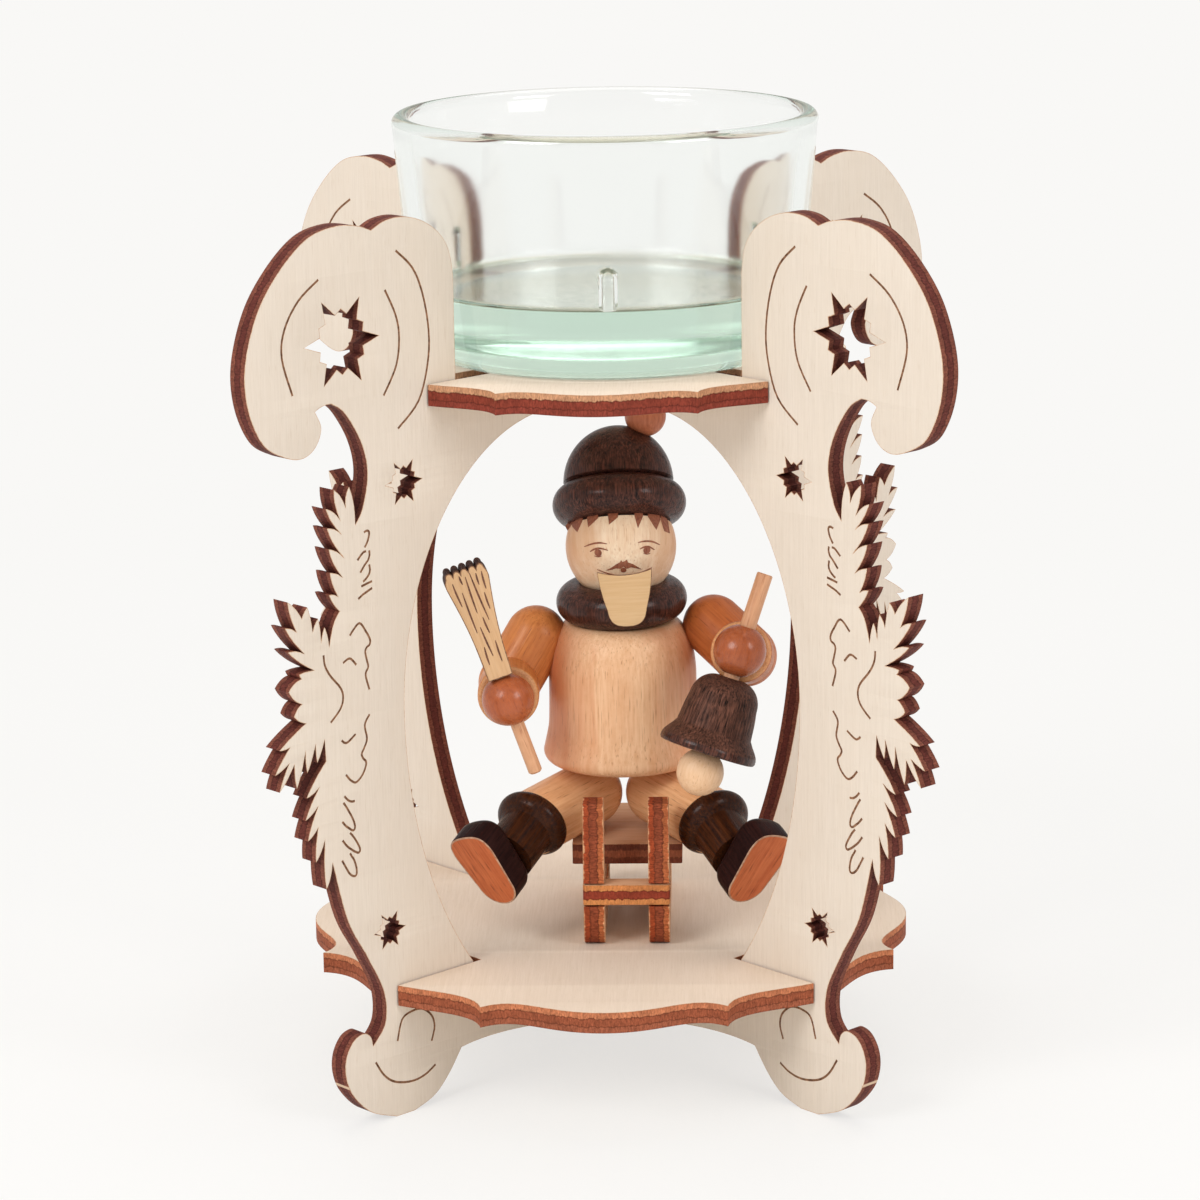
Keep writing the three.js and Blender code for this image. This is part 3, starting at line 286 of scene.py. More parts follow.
# The body takes painted shade that darkens its left and right sides.
TORSO = wood("beech_body", (0.91, 0.58, 0.345), (0.76, 0.41, 0.21), (0.42, 0.16, 0.062), pores=0.55,
             side_shade=((0.68, 0.225, 0.09), 3.0, 11.8), rough=(0.34, 0.48), gloss=0.35)
BEECH = wood("beech", (0.92, 0.545, 0.285), (0.74, 0.365, 0.165), (0.42, 0.16, 0.065), pores=0.8,
             rough=(0.36, 0.5))
STICK = wood("beech_stick", (0.8, 0.46, 0.27), (0.64, 0.315, 0.16), (0.38, 0.14, 0.06), pores=0.8)
HANDLE = wood("beech_handle", (0.66, 0.35, 0.195), (0.5, 0.225, 0.108), (0.32, 0.11, 0.045), pores=0.8)
# The head takes painted shade that darkens its cheeks and sides.
HEAD = wood("maple_head", (0.91, 0.72, 0.52), (0.8, 0.55, 0.35), (0.54, 0.28, 0.14),
            side_shade=((0.58, 0.27, 0.115), 2.0, 8.5), rough=(0.34, 0.48), gloss=0.35)
MAPLE = wood("maple", (0.85, 0.585, 0.375), (0.73, 0.445, 0.25), (0.48, 0.24, 0.12), pores=0.55,
             rough=(0.36, 0.5), gloss=0.35)
# Orange wood made darker with painted shade, as the pompom sits under the top plate.
POMPOM_SHADED = wood("pompom_wood_shaded", (0.56, 0.185, 0.088), (0.41, 0.115, 0.052), (0.24, 0.07, 0.03), pores=0.5)
SLEEVE = wood("sleeve", (0.7, 0.26, 0.075), (0.52, 0.155, 0.04), (0.27, 0.065, 0.02),
              rough=(0.28, 0.4))
# A darker copy of the sleeve colour: painted shade for the bell arm, which gets less light than the broom
# arm.
SLEEVE_SHADED = wood("sleeve_shaded", (0.53, 0.15, 0.04), (0.38, 0.092, 0.023), (0.2, 0.045, 0.014),
                   rough=(0.28, 0.4))
# A lighter colour for the rounded sleeve end: painted highlight where the lacquer catches light.
SLEEVE_END_HIGHLIGHT = wood("sleeve_end_highlight", (0.74, 0.38, 0.17), (0.55, 0.22, 0.085), (0.26, 0.08, 0.03), pores=0.5,
            rough=(0.32, 0.45))
GLOVE = wood("glove", (0.5, 0.132, 0.046), (0.35, 0.078, 0.024), (0.17, 0.034, 0.012), pores=0.45,
             rough=(0.24, 0.32), relief=0.12, Coat_Weight=0.2, Coat_Roughness=0.14)
# A darker copy of the glove colour: painted shade for the bell hand.
GLOVE_SHADED = wood("glove_shaded", (0.41, 0.105, 0.036), (0.28, 0.061, 0.018), (0.14, 0.028, 0.01), pores=0.45,
                  rough=(0.24, 0.32), relief=0.12, Coat_Weight=0.2, Coat_Roughness=0.14)
DARK = wood("dark_stain", (0.175, 0.06, 0.038), (0.016, 0.006, 0.0045), (0.003, 0.002, 0.002), streak=4.0,
            pores=1.0, rough=(0.28, 0.44), relief=0.8, edge=(0.45, 0.69), gloss=0.08,
            Coat_Weight=0.3, Coat_Roughness=0.2)
BELL = wood("bell_stain", (0.18, 0.072, 0.046), (0.022, 0.009, 0.006), (0.005, 0.003, 0.002), streak=4.0,
            pores=1.0, rough=(0.34, 0.5), relief=0.8, edge=(0.4, 0.64), gloss=0.1)
BOOT = wood("boot_stain", (0.082, 0.024, 0.008), (0.013, 0.004, 0.003), (0.004, 0.002, 0.002), streak=2.8,
            rough=(0.2, 0.32), relief=0.3, edge=(0.38, 0.64), gloss=0.08,
            Coat_Weight=0.08, Coat_Roughness=0.14)
SHOE = wood("shoe_stain", (0.034, 0.012, 0.01), (0.01, 0.004, 0.004), (0.003, 0.002, 0.002), streak=2.8,
            rough=(0.24, 0.36), relief=0.3, gloss=0.03)
SOLE = wood("bare_sole", (0.66, 0.185, 0.066), (0.48, 0.105, 0.034), (0.22, 0.046, 0.017), axis=1, streak=2.8,
            pores=0.8, rough=(0.5, 0.62), gloss=0.2)
WELT = scorch("sole_edge", (0.6, 0.38, 0.25), (0.34, 0.15, 0.08))
VENEER = ply_face("veneer", 0, (0.71, 0.485, 0.265), (0.63, 0.395, 0.195), (0.67, 0.44, 0.23))
STRAW = ply_face("straw_ply", 1, (0.74, 0.48, 0.27), (0.64, 0.38, 0.195), (0.7, 0.435, 0.23))
CHAR = ply_edge("veneer_edge", (0.1, 0.04, 0.028), (0.075, 0.03, 0.022), half=BEARD_HALF)
STRAW_EDGE = ply_edge("straw_edge", (0.085, 0.036, 0.027), (0.06, 0.027, 0.022), streaks=(0.5, 1.3))
CHAR_RIM = scorch("veneer_scorch", (0.45, 0.24, 0.12), (0.12, 0.05, 0.03))
INK = ink("brown_print", (0.2, 0.05, 0.022), (0.36, 0.12, 0.055))
BURN = ink("burnt_line", (0.1, 0.032, 0.017), (0.24, 0.09, 0.045))


def glass(name, rough, scale, strength):
    """Pressed glass, faintly wavy, green where it is thick; it lets light through to what lies behind it."""
    s = Shade(name)
    wave = s.noise(s.place(), scale, 2.0, 0.4)
    s.finish((1.0, 1.0, 1.0, 1.0), s.span(wave, 0.3, 0.7, *rough), s.relief(wave, strength, 0.35),
             Transmission_Weight=1.0, IOR=1.5)
    path = s.node("ShaderNodeLightPath", {}).outputs
    lit = s.math("MAXIMUM", path["Is Shadow Ray"], path["Is Diffuse Ray"])
    free = s.math("MAXIMUM", lit, s.math("GREATER_THAN", path["Glossy Depth"], 2.5))
    clear = s.node("ShaderNodeBsdfTransparent", {})
    both = s.node("ShaderNodeMixShader", {0: free, 1: s.bsdf.outputs[0], 2: clear.outputs[0]})
    haze = s.node("ShaderNodeVolumeAbsorption", {"Color": (0.52, 0.745, 0.6, 1.0), "Density": 20.0})
    s.result(both)
    s.result(haze, socket="Volume")
    return s.mat


GLASS = glass("clear_glass", (0.04, 0.1), (0.1, 0.1, 0.05), 0.03)
PRESSED = glass("pressed_glass", (0.14, 0.26), (0.7, 0.7, 0.7), 0.05)


# Meshes

def add(name, data):
    made = bpy.data.objects.new(name, data)
    bpy.context.scene.collection.objects.link(made)
    return made


def mesh_object(name, verts, faces, slots, indices):
    data = bpy.data.meshes.new(name)
    data.from_pydata([Vector(v) * MM for v in verts], [], faces)
    for material in slots:
        data.materials.append(material)
    data.polygons.foreach_set("material_index", indices)
    data.validate()
    data.shade_smooth()
    data.set_sharp_from_angle(angle=SHARP)
    return add(name, data)


def settle(made, matrix, nodes, body="holder"):
    made.matrix_world = matrix
    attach(made, body)
    if nodes:
        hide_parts(*nodes)


def at(x, y, z):
    return Matrix.Translation(Vector((x, y, z)) * MM)


def turned(degrees, axis):
    return Matrix.Rotation(math.radians(degrees), 4, axis)


def frame_along(origin, axis, toward):
    z = Vector(axis).normalized()
    x = Vector(toward).cross(z).normalized()
    y = z.cross(x)
    turn = Matrix((x, y, z)).transposed().to_4x4()
    return at(*origin) @ turn


def arc(cx, cy, rx, ry, start, end, steps):
    out = []
    for i in range(steps + 1):
        a = math.radians(start + (end - start) * i / steps)
        out.append((cx + rx * math.cos(a), cy + ry * math.sin(a)))
    return out


def walls(low, high, count):
    """Quads between two rings of points, each given by its first index."""
    return [(low + i, low + (i + 1) % count, high + (i + 1) % count, high + i) for i in range(count)]


def lathe(name, profile, slots, sides=80, bands=None, dent=None):
    """Turns a profile of (radius, height) about the piece's own Z; bands give a material to each stretch."""
    rows, verts, faces, indices = [], [], [], []
    for r, z in profile:
        if r < 1e-6:
            rows.append([len(verts)])
            verts.append((0.0, 0.0, z))
            continue
        rows.append(list(range(len(verts), len(verts) + sides)))
        for i in range(sides):
            a = 2 * math.pi * i / sides
            reach = r - (dent(r, a, z) if dent else 0.0)
            verts.append((reach * math.cos(a), reach * math.sin(a), z))
    for k in range(len(rows) - 1):
        low, high = rows[k], rows[k + 1]
        band = bands[k] if bands else 0
        for i in range(sides):
            j = (i + 1) % sides
            if len(low) == 1:
                faces.append((low[0], high[j], high[i]))
            elif len(high) == 1:
                faces.append((low[i], low[j], high[0]))
            else:
                faces.append((low[i], low[j], high[j], high[i]))
            indices.append(band)
    return mesh_object(name, verts, faces, slots, indices)


class Pen:
    """Collects the points of an outline."""

    def __init__(self, x, y):
        self.points = [(x, y)]

    def lines(self, *points):
        self.points.extend(points)

    def cubic(self, ax, ay, bx, by, x, y, steps=16):
        x0, y0 = self.points[-1]
        for i in range(1, steps + 1):
            t = i / steps
            u = 1 - t
            self.points.append((u ** 3 * x0 + 3 * u * u * t * ax + 3 * u * t * t * bx + t ** 3 * x,
                                u ** 3 * y0 + 3 * u * u * t * ay + 3 * u * t * t * by + t ** 3 * y))

    def quad(self, cx, cy, x, y, steps=10):
        x0, y0 = self.points[-1]
        self.cubic(x0 + (cx - x0) * 2 / 3, y0 + (cy - y0) * 2 / 3, x + (cx - x) * 2 / 3, y + (cy - y) * 2 / 3,
                   x, y, steps)

    def spline(self, points, steps=9):
        self.points.extend(smooth([self.points[-1]] + list(points), steps)[1:])

    def ellipse(self, cx, cy, rx, ry, start, end, steps=40):
        self.points.extend(arc(cx, cy, rx, ry, start, end, steps)[1:])


def smooth(points, steps):
    """Points on a curve that passes through all the given ones."""
    out = [points[0]]
    last = len(points) - 1
    for i in range(last):
        p0, p1, p2, p3 = points[max(i - 1, 0)], points[i], points[i + 1], points[min(i + 2, last)]
        for k in range(1, steps + 1):
            t = k / steps
            point = []
            for a, b, c, d in zip(p0, p1, p2, p3):
                v0, v1 = (c - a) / 2, (d - b) / 2
                cube, square = 2 * b - 2 * c + v0 + v1, 3 * c - 3 * b - 2 * v0 - v1
                point.append(cube * t ** 3 + square * t * t + v0 * t + b)
            out.append(tuple(point))
    return out


def tidy(loop, hole):
    """Drops doubled points and runs an outline left-handed, a hole right-handed."""
    kept = []
    for point in loop:
        if not kept or math.dist(point, kept[-1]) > 0.01:
            kept.append(point)
    if math.dist(kept[0], kept[-1]) <= 0.01:
        kept.pop()
    area = sum(a[0] * b[1] - b[0] * a[1] for a, b in zip(kept, kept[1:] + kept[:1]))
    return kept[::-1] if (area < 0) != hole else kept


def inset(loop, by):
    """The loop moved into the material on its left."""
    out = []
    count = len(loop)
    for i in range(count):
        a, b, c = Vector(loop[i - 1]), Vector(loop[i]), Vector(loop[(i + 1) % count])
        d1, d2 = (b - a).normalized(), (c - b).normalized()
        n1, n2 = Vector((-d1.y, d1.x)), Vector((-d2.y, d2.x))
        n = n1 + n2
        if n.length < 1e-4:
            n = n1 - d2
        n.normalize()
        reach = by / max(n.dot(n1), 0.55)
        out.append(tuple(b + n * reach))
    return out


def filled(loops):
    """Triangles that fill an outline with holes, as indices into all its points, seen from above."""
    flat = [Vector((x, y, 0.0)) for loop in loops for x, y in loop]
    out = []
    for a, b, c in geometry.tessellate_polygon([[Vector((x, y, 0.0)) for x, y in loop] for loop in loops]):
        up = (flat[b] - flat[a]).cross(flat[c] - flat[a]).z
        out.append((a, b, c) if up > 0 else (a, c, b))
    return out


def sheet(name, outline, holes, half, slots, rim=0.09, drop=0.03, cuts=()):
    """Cut sheet with browned rims; the slots are face, edge, rim and the ground of scored lines."""
    loops = [tidy(outline, False)] + [tidy(hole, True) for hole in (*holes, *cuts)]
    rings = [inset(loop, rim if i <= len(holes) else 0.03) for i, loop in enumerate(loops)]
    verts, faces, indices = [], [], []

    def paint(shapes, material):
        faces.extend(shapes)
        indices.extend([material] * (len(faces) - len(indices)))

    for source, z in ((rings, half), (loops, half - drop), (loops, drop - half), (rings, -half)):
        verts.extend((x, y, z) for loop in source for x, y in loop)
    total = sum(len(loop) for loop in loops)
    for a, b, c in filled(rings):
        paint([(a, b, c), (a + 3 * total, c + 3 * total, b + 3 * total)], 0)
    start = 0
    for index, loop in enumerate(loops):
        count = len(loop)
        scored = index > len(holes)
        for level, material in ((0, 2), (2, 2)) if scored else ((0, 2), (1, 1), (2, 2)):
            paint(walls(start + (level + 1) * total, start + level * total, count), material)
        if scored:
            for side, level in ((1, 1), (-1, 2)):
                ground = len(verts)
                verts.extend((x, y, side * (half - SCORE_DEPTH)) for x, y in loop)
                paint([quad[::side] for quad in walls(ground, start + level * total, count)], 3)
                paint([tuple(ground + i for i in triangle[::side]) for triangle in filled([loop])], 3)
        start += count
    return mesh_object(name, verts, faces, slots, indices)


def stacked(name, outline, levels, slots, bands, caps):
    """A block lofted through insets of one outline; levels are (inset, height)."""
    loop = tidy(outline, False)
    rings = [inset(loop, by) for by, _ in levels]
    count = len(loop)
    verts = [(x, y, z) for ring, (_, z) in zip(rings, levels) for x, y in ring]
    faces, indices = [], []
    for k, band in enumerate(bands):
        faces.extend(walls(k * count, (k + 1) * count, count))
        indices.extend([band] * count)
    last = (len(levels) - 1) * count
    for a, b, c in filled([rings[0]]):
        faces.append((a, c, b))
        indices.append(caps[0])
    for a, b, c in filled([rings[-1]]):
        faces.append((a + last, b + last, c + last))
        indices.append(caps[1])
    return mesh_object(name, verts, faces, slots, indices)


def ribbon(points, width, steps=6, tapered=True):
    """Closed outline of a band along a line, which may thin toward both ends."""
    line = smooth(points, steps)
    last = len(line) - 1
    left, right = [], []
    for i, point in enumerate(line):
        d = (Vector(line[min(i + 1, last)]) - Vector(line[max(i - 1, 0)])).normalized()
        swell = 0.35 + 0.65 * math.sin(math.pi * i / last) if tapered else 1.0
        side = Vector((-d.y, d.x)) * width / 2 * swell
        left.append(tuple(Vector(point) + side))
        right.append(tuple(Vector(point) - side))
    return left + right[::-1]


# Fretwork panels

def star(out, level, tip):
    reach = (tip, tip * 0.58, tip * 0.68, tip * 0.58)
    return [(CUP_EDGE + out + reach[i % 4] * math.cos(i * math.pi / 12),
             level + reach[i % 4] * math.sin(i * math.pi / 12)) for i in range(24)]


# Twigs, from the top down: the bulge of the needles, then the tip and the end of each needle
TWIGS = (
    (0.16, ((19.5, 31.6, 20.2, 28.8), (22.2, 31.6, 21.2, 27.2), (23.7, 29.2, 20.9, 25.1),
            (23.6, 26.5, 20.5, 21.7), (23.4, 23.6, 21.1, 19.3), (23.3, 20.3, 22.0, 16.8),
            (23.6, 17.3, 21.8, 14.7))),
    (0.12, ((24.5, 13.0, 25.2, 10.9), (25.6, 14.4, 26.6, 12.7), (27.4, 16.3, 28.4, 14.9),
            (30.8, 17.6, 29.4, 13.2), (31.4, 14.1, 28.2, 10.0), (31.0, 10.7, 26.6, 7.4),
            (29.2, 7.3, 28.8, 6.6))),
    (0.32, ((31.1, 5.2, 28.9, 3.1), (30.3, 1.6, 28.3, 0.3))),
    (0.08, ((33.0, -2.6, 31.2, -2.5), (33.9, -5.9, 31.4, -4.7), (33.2, -8.4, 30.5, -5.0),
            (30.2, -8.5, 28.5, -3.5), (28.3, -6.7, 26.7, -2.9), (26.5, -5.6, 25.1, -2.6))),
    (0.1, ((28.6, -10.2, 26.3, -9.1), (28.9, -13.3, 26.6, -11.7), (28.6, -16.3, 26.7, -14.7),
           (27.3, -19.6, 25.6, -16.7), (25.6, -23.8, 24.4, -20.3))),
)

# Cut lines of a panel, as points from the middle axis and the floor
CUT_LINES = (
    ((39.4, 122.5), (36.5, 119.8), (34.8, 116.0), (33.9, 111.0), (34.2, 106.5), (36.0, 101.5), (39.8, 98.2)),
    ((41.5, 117.4), (39.8, 114.0), (39.2, 111.0), (39.8, 107.0), (42.2, 103.1)),
    ((53.0, 120.2), (56.5, 117.8), (59.0, 114.3), (59.6, 110.5), (58.0, 105.3)),
    ((36.6, 9.5), (36.0, 11.5), (36.5, 13.3), (38.2, 14.7), (40.3, 14.8), (42.0, 14.0), (42.9, 11.1)),
    ((36.0, 5.8), (38.0, 4.8), (40.5, 4.5), (43.5, 5.2), (45.5, 6.7), (47.0, 9.0)),
    ((46.35, 84.85), (45.85, 85.0), (45.5, 84.8), (45.5, 84.3), (45.8, 83.5), (46.3, 82.75)),
    ((46.1, 82.2), (46.6, 82.1), (47.1, 81.7), (47.65, 81.2)),
    ((45.55, 82.2), (45.5, 81.6), (45.75, 80.95), (46.1, 80.6), (46.5, 80.2), (47.2, 79.4)),
    ((45.6, 80.25), (45.5, 79.5), (45.7, 78.9), (46.2, 78.4), (46.75, 78.05)),
    ((45.2, 77.85), (46.2, 77.65), (47.1, 77.45)),
    ((45.2, 76.9), (46.0, 76.6), (46.8, 76.3), (47.7, 75.8)),
    ((49.4, 71.0), (47.7, 72.4), (46.5, 71.0), (45.85, 69.8), (45.95, 69.1), (46.45, 68.8), (46.75, 68.2),
     (46.5, 67.0), (46.3, 66.0), (46.8, 65.0), (46.2, 62.8)),
    ((48.4, 66.7), (49.5, 67.8), (50.7, 67.4)),
    ((54.1, 69.1), (53.9, 67.6), (53.0, 66.0), (51.3, 64.0), (50.9, 62.5), (51.5, 61.0), (53.2, 59.5)),
    ((46.3, 59.3), (47.2, 58.0), (46.9, 56.0), (47.4, 54.8), (47.9, 54.0), (47.65, 53.3), (47.2, 52.8),
     (47.25, 52.1), (47.9, 51.0), (49.0, 50.2), (49.9, 50.6), (50.8, 51.6)),
    ((48.9, 57.0), (50.5, 56.1), (51.4, 56.6)),
    ((49.4, 47.6), (50.0, 47.65), (50.6, 48.0), (51.2, 48.65)),
    ((51.4, 47.75), (51.0, 47.2), (50.4, 46.2), (49.9, 45.3), (49.55, 44.4), (49.5, 43.75), (49.75, 43.5),
     (50.1, 43.6), (50.6, 44.0), (51.1, 44.4), (51.7, 45.1)),
    ((50.4, 43.25), (49.9, 42.7), (49.3, 41.8), (48.85, 41.0), (48.7, 40.45), (48.95, 40.1), (49.55, 40.35),
     (50.3, 40.9), (51.0, 41.5), (51.75, 42.45)),
    ((50.5, 40.35), (50.25, 39.9), (49.85, 39.3), (49.5, 38.3), (49.4, 37.4), (49.6, 36.95), (50.1, 37.0),
     (50.7, 37.5), (51.2, 38.3), (51.95, 39.6)),
)


def panel_outline():
    e = CUP_EDGE
    sill, belly, climb = e - 0.85, e + 10.75, 39.0
    belly_level, middle = BASE_TOP + climb, (BASE_TOP + TOP_UNDER) / 2
    rise = climb / math.sqrt(1 - (sill / belly) ** 2)
    sill_angle = math.degrees(math.asin(-climb / rise))
    pen = Pen(e + 1.75, 7.1)

    def curve(level, *points):
        pen.spline([(e + x, level + y) for x, y in points])

    pen.cubic(e - 4, 7.9, 18.5, 7.0, 14.0, 6.4, 20)
    pen.quad(12.5, 6.4, 12.5, 8.5)
    pen.lines((12.5, FOOT_HEIGHT - FIT), (sill, FOOT_HEIGHT - FIT), (sill, BASE_TOP))
    pen.ellipse(0, belly_level, belly, rise, sill_angle, 0, 60)
    pen.ellipse(11.0, belly_level, belly - 11.0, TOP_UNDER - 3.65 - belly_level, 0, 90, 60)
    pen.lines((11.0, TOP_UNDER - FIT), (e, TOP_UNDER - FIT), (e, TOP_TOP + LOBE_LOW))
    curve(TOP_TOP, (0.65, 17.8), (2.3, 20.4), (5.2, 22.4), (8.7, 23.4), (12.0, 23.2), (14.4, 22.2))
    curve(TOP_TOP, (17.0, 23.1), (20.8, 23.4), (25.5, 22.3), (30.3, 18.6), (34.3, 13.4), (36.6, 6.6),
          (36.3, 0.8), (34.0, -4.1), (30.6, -6.3), (27.6, -7.0), (25.2, -5.9), (24.0, -3.4), (25.0, -1.0))
    pen.quad(e + 23.8, TOP_TOP - 0.2, e + 22.2, TOP_TOP - 0.3)
    curve(TOP_TOP, (19.9, -1.9), (17.2, -6.2), (16.2, -10.6), (17.2, -15.2), (18.6, middle + 26.2 - TOP_TOP))
    for index, (bulge, needles) in enumerate(TWIGS):
        if index == 1:
            pen.quad(e + 23.2, middle + 13.6, e + 23.8, middle + 10.1)
        if index == 4:
            pen.lines((e + 25.0, middle - 5.7))
        for tip_x, tip_y, end_x, end_y in needles:
            start = Vector(pen.points[-1])
            tip, end = Vector((e + tip_x, middle + tip_y)), Vector((e + end_x, middle + end_y))
            out = tip - (start + end) / 2
            side = Vector((out.y, -out.x)) * bulge
            swell, fall = start.lerp(tip, 0.6) - side, tip.lerp(end, 0.4) + side
            pen.quad(swell.x, swell.y, tip.x, tip.y, 7)
            pen.quad(fall.x, fall.y, end.x, end.y, 7)
    curve(FOOT_HEIGHT, (22.0, 14.4), (18.6, 8.2), (15.9, 2.6), (15.8, -2.0), (18.1, -4.8))
    curve(0, (18.5, 12.95), (19.7, 13.75), (21.6, 13.15), (23.0, 11.05), (23.2, 8.3), (22.0, 5.2),
          (18.8, 1.9), (14.15, 0))
    pen.lines((e + 10.75, 0))
    curve(0, (7.0, 1.3), (4.2, 3.8), (1.75, 7.1))
    return pen.points


def build_panels():
    holes = [star(20.05, TOP_TOP + 7.85, 6.5), star(9.8, BASE_TOP + 71.3, 3.3),
             star(14.5, BASE_TOP + 8.3, 2.85)]
    cuts = [ribbon(line, SCORE_WIDTH, 5, False) for line in CUT_LINES]
    outline = panel_outline()
    upright = turned(90, "X")
    slots = (BIRCH, SHADED_BIRCH_EDGE, BIRCH_RIM, SCORE)
    for where, turn in (("back_right", 45), ("back_left", 135), ("front_left", 225), ("front_right", 315)):
        made = sheet("fret_" + where, outline, holes, PLY / 2, slots, cuts=cuts)
        settle(made, turned(turn, "Z") @ upright, ["panel_" + where])


def plate_outline(slot, corner, lobe, cusp_x, cusp_in):
    lobe = CUP_EDGE + lobe
    cusp_y = -(lobe - cusp_in)
    half = PLY / 2 + FIT

    def diagonal(reach):
        return ((-reach + half) * math.sqrt(0.5), (-reach - half) * math.sqrt(0.5))

    edge, inner = diagonal(CUP_EDGE + corner), diagonal(CUP_EDGE + slot)
    step = (edge[0] + (-cusp_x - edge[0]) * 0.45, edge[1] + (cusp_y - edge[1]) * 0.33)
    fall = (-cusp_x - 0.9, edge[1] + (cusp_y - edge[1]) * 0.42)
    swell, crest = (-cusp_x * 0.68, cusp_y + cusp_in * 1.7), (-cusp_x * 0.5, -lobe)
    pen = Pen(*inner)
    pen.lines(edge)
    pen.cubic(*step, *fall, -cusp_x, cusp_y)
    pen.cubic(*swell, *crest, 0, -lobe)
    pen.cubic(-crest[0], crest[1], -swell[0], swell[1], cusp_x, cusp_y)
    pen.cubic(-fall[0], fall[1], -step[0], step[1], -edge[0], edge[1])
    pen.lines((-inner[0], inner[1]))
    out, side = [], pen.points
    for _ in range(4):
        out.extend(side)
        side = [(-y, x) for x, y in side]
    return out


def build_plates():
    for name, node, level, edge, plan in (
            ("floor_plate", "base_plate", FOOT_HEIGHT, PLATE_EDGE, (-2.05, 13.55, 14.15, 17.05, 2.6)),
            ("shelf_plate", "top_plate", TOP_UNDER, SHELF_EDGE, (-8.35, 5.25, 5.35, 13.65, 1.8))):
        made = sheet(name, plate_outline(*plan), [], PLY / 2, (BIRCH_FLAT, edge, BIRCH_RIM))
        settle(made, at(0, 0, level + PLY / 2), [node])


def build_cup():
    wall, floor, heel, bend = CUP_WALL, CUP_FLOOR, 4.4, 1.0
    under, near_heel, near_rim = 0.6, 4.9, 32.2
    rib_height, rib_top, rib_radius, rib_sink, rib_turn = 6.7, 4.8, 1.3, 0.6, 271.7

    def radius(z):
        return CUP_FOOT + CUP_FLARE * z / CUP_HEIGHT

    heel_out = radius(heel)
    inner = radius(floor) - wall
    profile = [(0, under), (heel_out - heel - 2.0, under), (heel_out - heel - 1.4, 0.1)]
    profile += arc(heel_out - heel, heel, heel, heel, -90, 0, 12)
    profile += [(radius(z), z) for z in (near_heel, 10, 16, 22, 28, near_rim)]
    top, low = CUP_HEIGHT - wall / 2, floor + bend
    profile += arc(CUP_RIM - wall / 2, top, wall / 2, wall / 2, 0, 180, 14)
    steps = [near_rim, 28.0, 24.0, 20.0] + [low + 7.0 * (1 - i / 32) for i in range(33)]
    profile += [(inner + (CUP_RIM - wall - inner) * (z - low) / (top - low), z) for z in steps]
    profile += arc(inner - bend, low, bend, bend, 0, -90, 16)[1:] + [(inner - 8, floor), (0, floor)]

    def rib(r, angle, z):
        """How far a rib stands out from the inner wall."""
        if r > inner + 1.4 or r < inner - bend or z < floor or z > floor + rib_height:
            return 0.0
        turns = [angle - math.radians(rib_turn + 120 * i) for i in range(3)]
        aside = min(abs((turn + math.pi) % (2 * math.pi) - math.pi) for turn in turns) * r
        over = max(z - (floor + rib_top), 0.0)
        swell = rib_radius ** 2 - aside ** 2 - over ** 2
        return max(r - (inner + rib_sink - math.sqrt(swell)), 0.0) if swell > 0 else 0.0

    bands = [1 if max(a[1], b[1]) <= under or abs(a[1] - floor) + abs(b[1] - floor) < 0.01 else 0
             for a, b in zip(profile, profile[1:])]
    made = lathe("tealight_cup", profile, (GLASS, PRESSED), 720, bands, rib)
    settle(made, at(CUP.x, CUP.y, TOP_TOP), ["glass_cup"], "glass")


# Sled

def build_sled():
    front, rear, ledge = -16.3, 15.5, 9.85
    horn, bar_depth, bar_low, gauge = 21.4, 3.2, 6.6, 9.3
    low, high = bar_low - FIT, bar_low + PLY + FIT
    notch = bar_depth + FIT
    pen = Pen(front + 3.2, 0)
    pen.lines((rear - 1.5, 0))
    pen.quad(rear, 0, rear, 1.5)
    pen.lines((rear, low), (rear - notch, low), (rear - notch, ledge), (-8.2, ledge))
    pen.quad(front + 3.6, ledge, front + 3.6, ledge + 3.5)
    pen.lines((front + 4.4, horn), (front + 0.8, horn), (front, high + 3), (front, high),
              (front + notch, high), (front + notch, low), (front, low))
    pen.quad(front + 0.2, 0.6, front + 3.2, 0, 14)
    hole = arc(7.3, ledge / 2, 2.4, 2.4, -90, 90, 20) + arc(-6.0, ledge / 2, 2.4, 2.4, 90, 270, 20)
    side_on = Matrix(((0, 0, 1), (1, 0, 0), (0, 1, 0))).to_4x4()
    for name, side in (("left", -1), ("right", 1)):
        made = sheet("runner_" + name, pen.points, [hole], PLY / 2, (SLED_FACE, RUNNER_EDGE, SLED_RIM),
                     rim=0.12, drop=0.05)
        place = at(SLED.x + side * gauge / 2, 0, BASE_TOP)
        settle(made, place @ side_on, ["sled_runner_" + name])

    def board(name, node, width, depth, y, z, edge):
        corner = 0.35
        w, d = width / 2 - corner, depth / 2 - corner
        outline = []
        for cx, cy, start in ((w, -d, -90), (w, d, 0), (-w, d, 90), (-w, -d, 180)):
            outline.extend(arc(cx, cy, corner, corner, start, start + 90, 4))
        made = sheet(name, outline, [], PLY / 2, (SLED_FACE, edge, SLED_RIM), rim=0.12, drop=0.05)
        settle(made, at(SLED.x, y, z), [node])

    level = BASE_TOP + bar_low + PLY / 2
    board("sled_board", "sled_seat", 15.9, 21.0, SLED.y, SLED.z, SEAT_EDGE)
    board("sled_bar_front", "sled_front_bar", 12.4, bar_depth, front + bar_depth / 2, level, BAR_EDGE)
    board("sled_bar_back", "sled_rear_bar", 12.4, bar_depth, rear - bar_depth / 2, level, BAR_EDGE)


# Figure

def figure_at(z):
    return at(FIGURE.x, FIGURE.y, z)


def on_ball(points, radius):
    return [(x, -math.sqrt(max(radius ** 2 - x * x - z * z, 0.01)), z) for x, z in points]


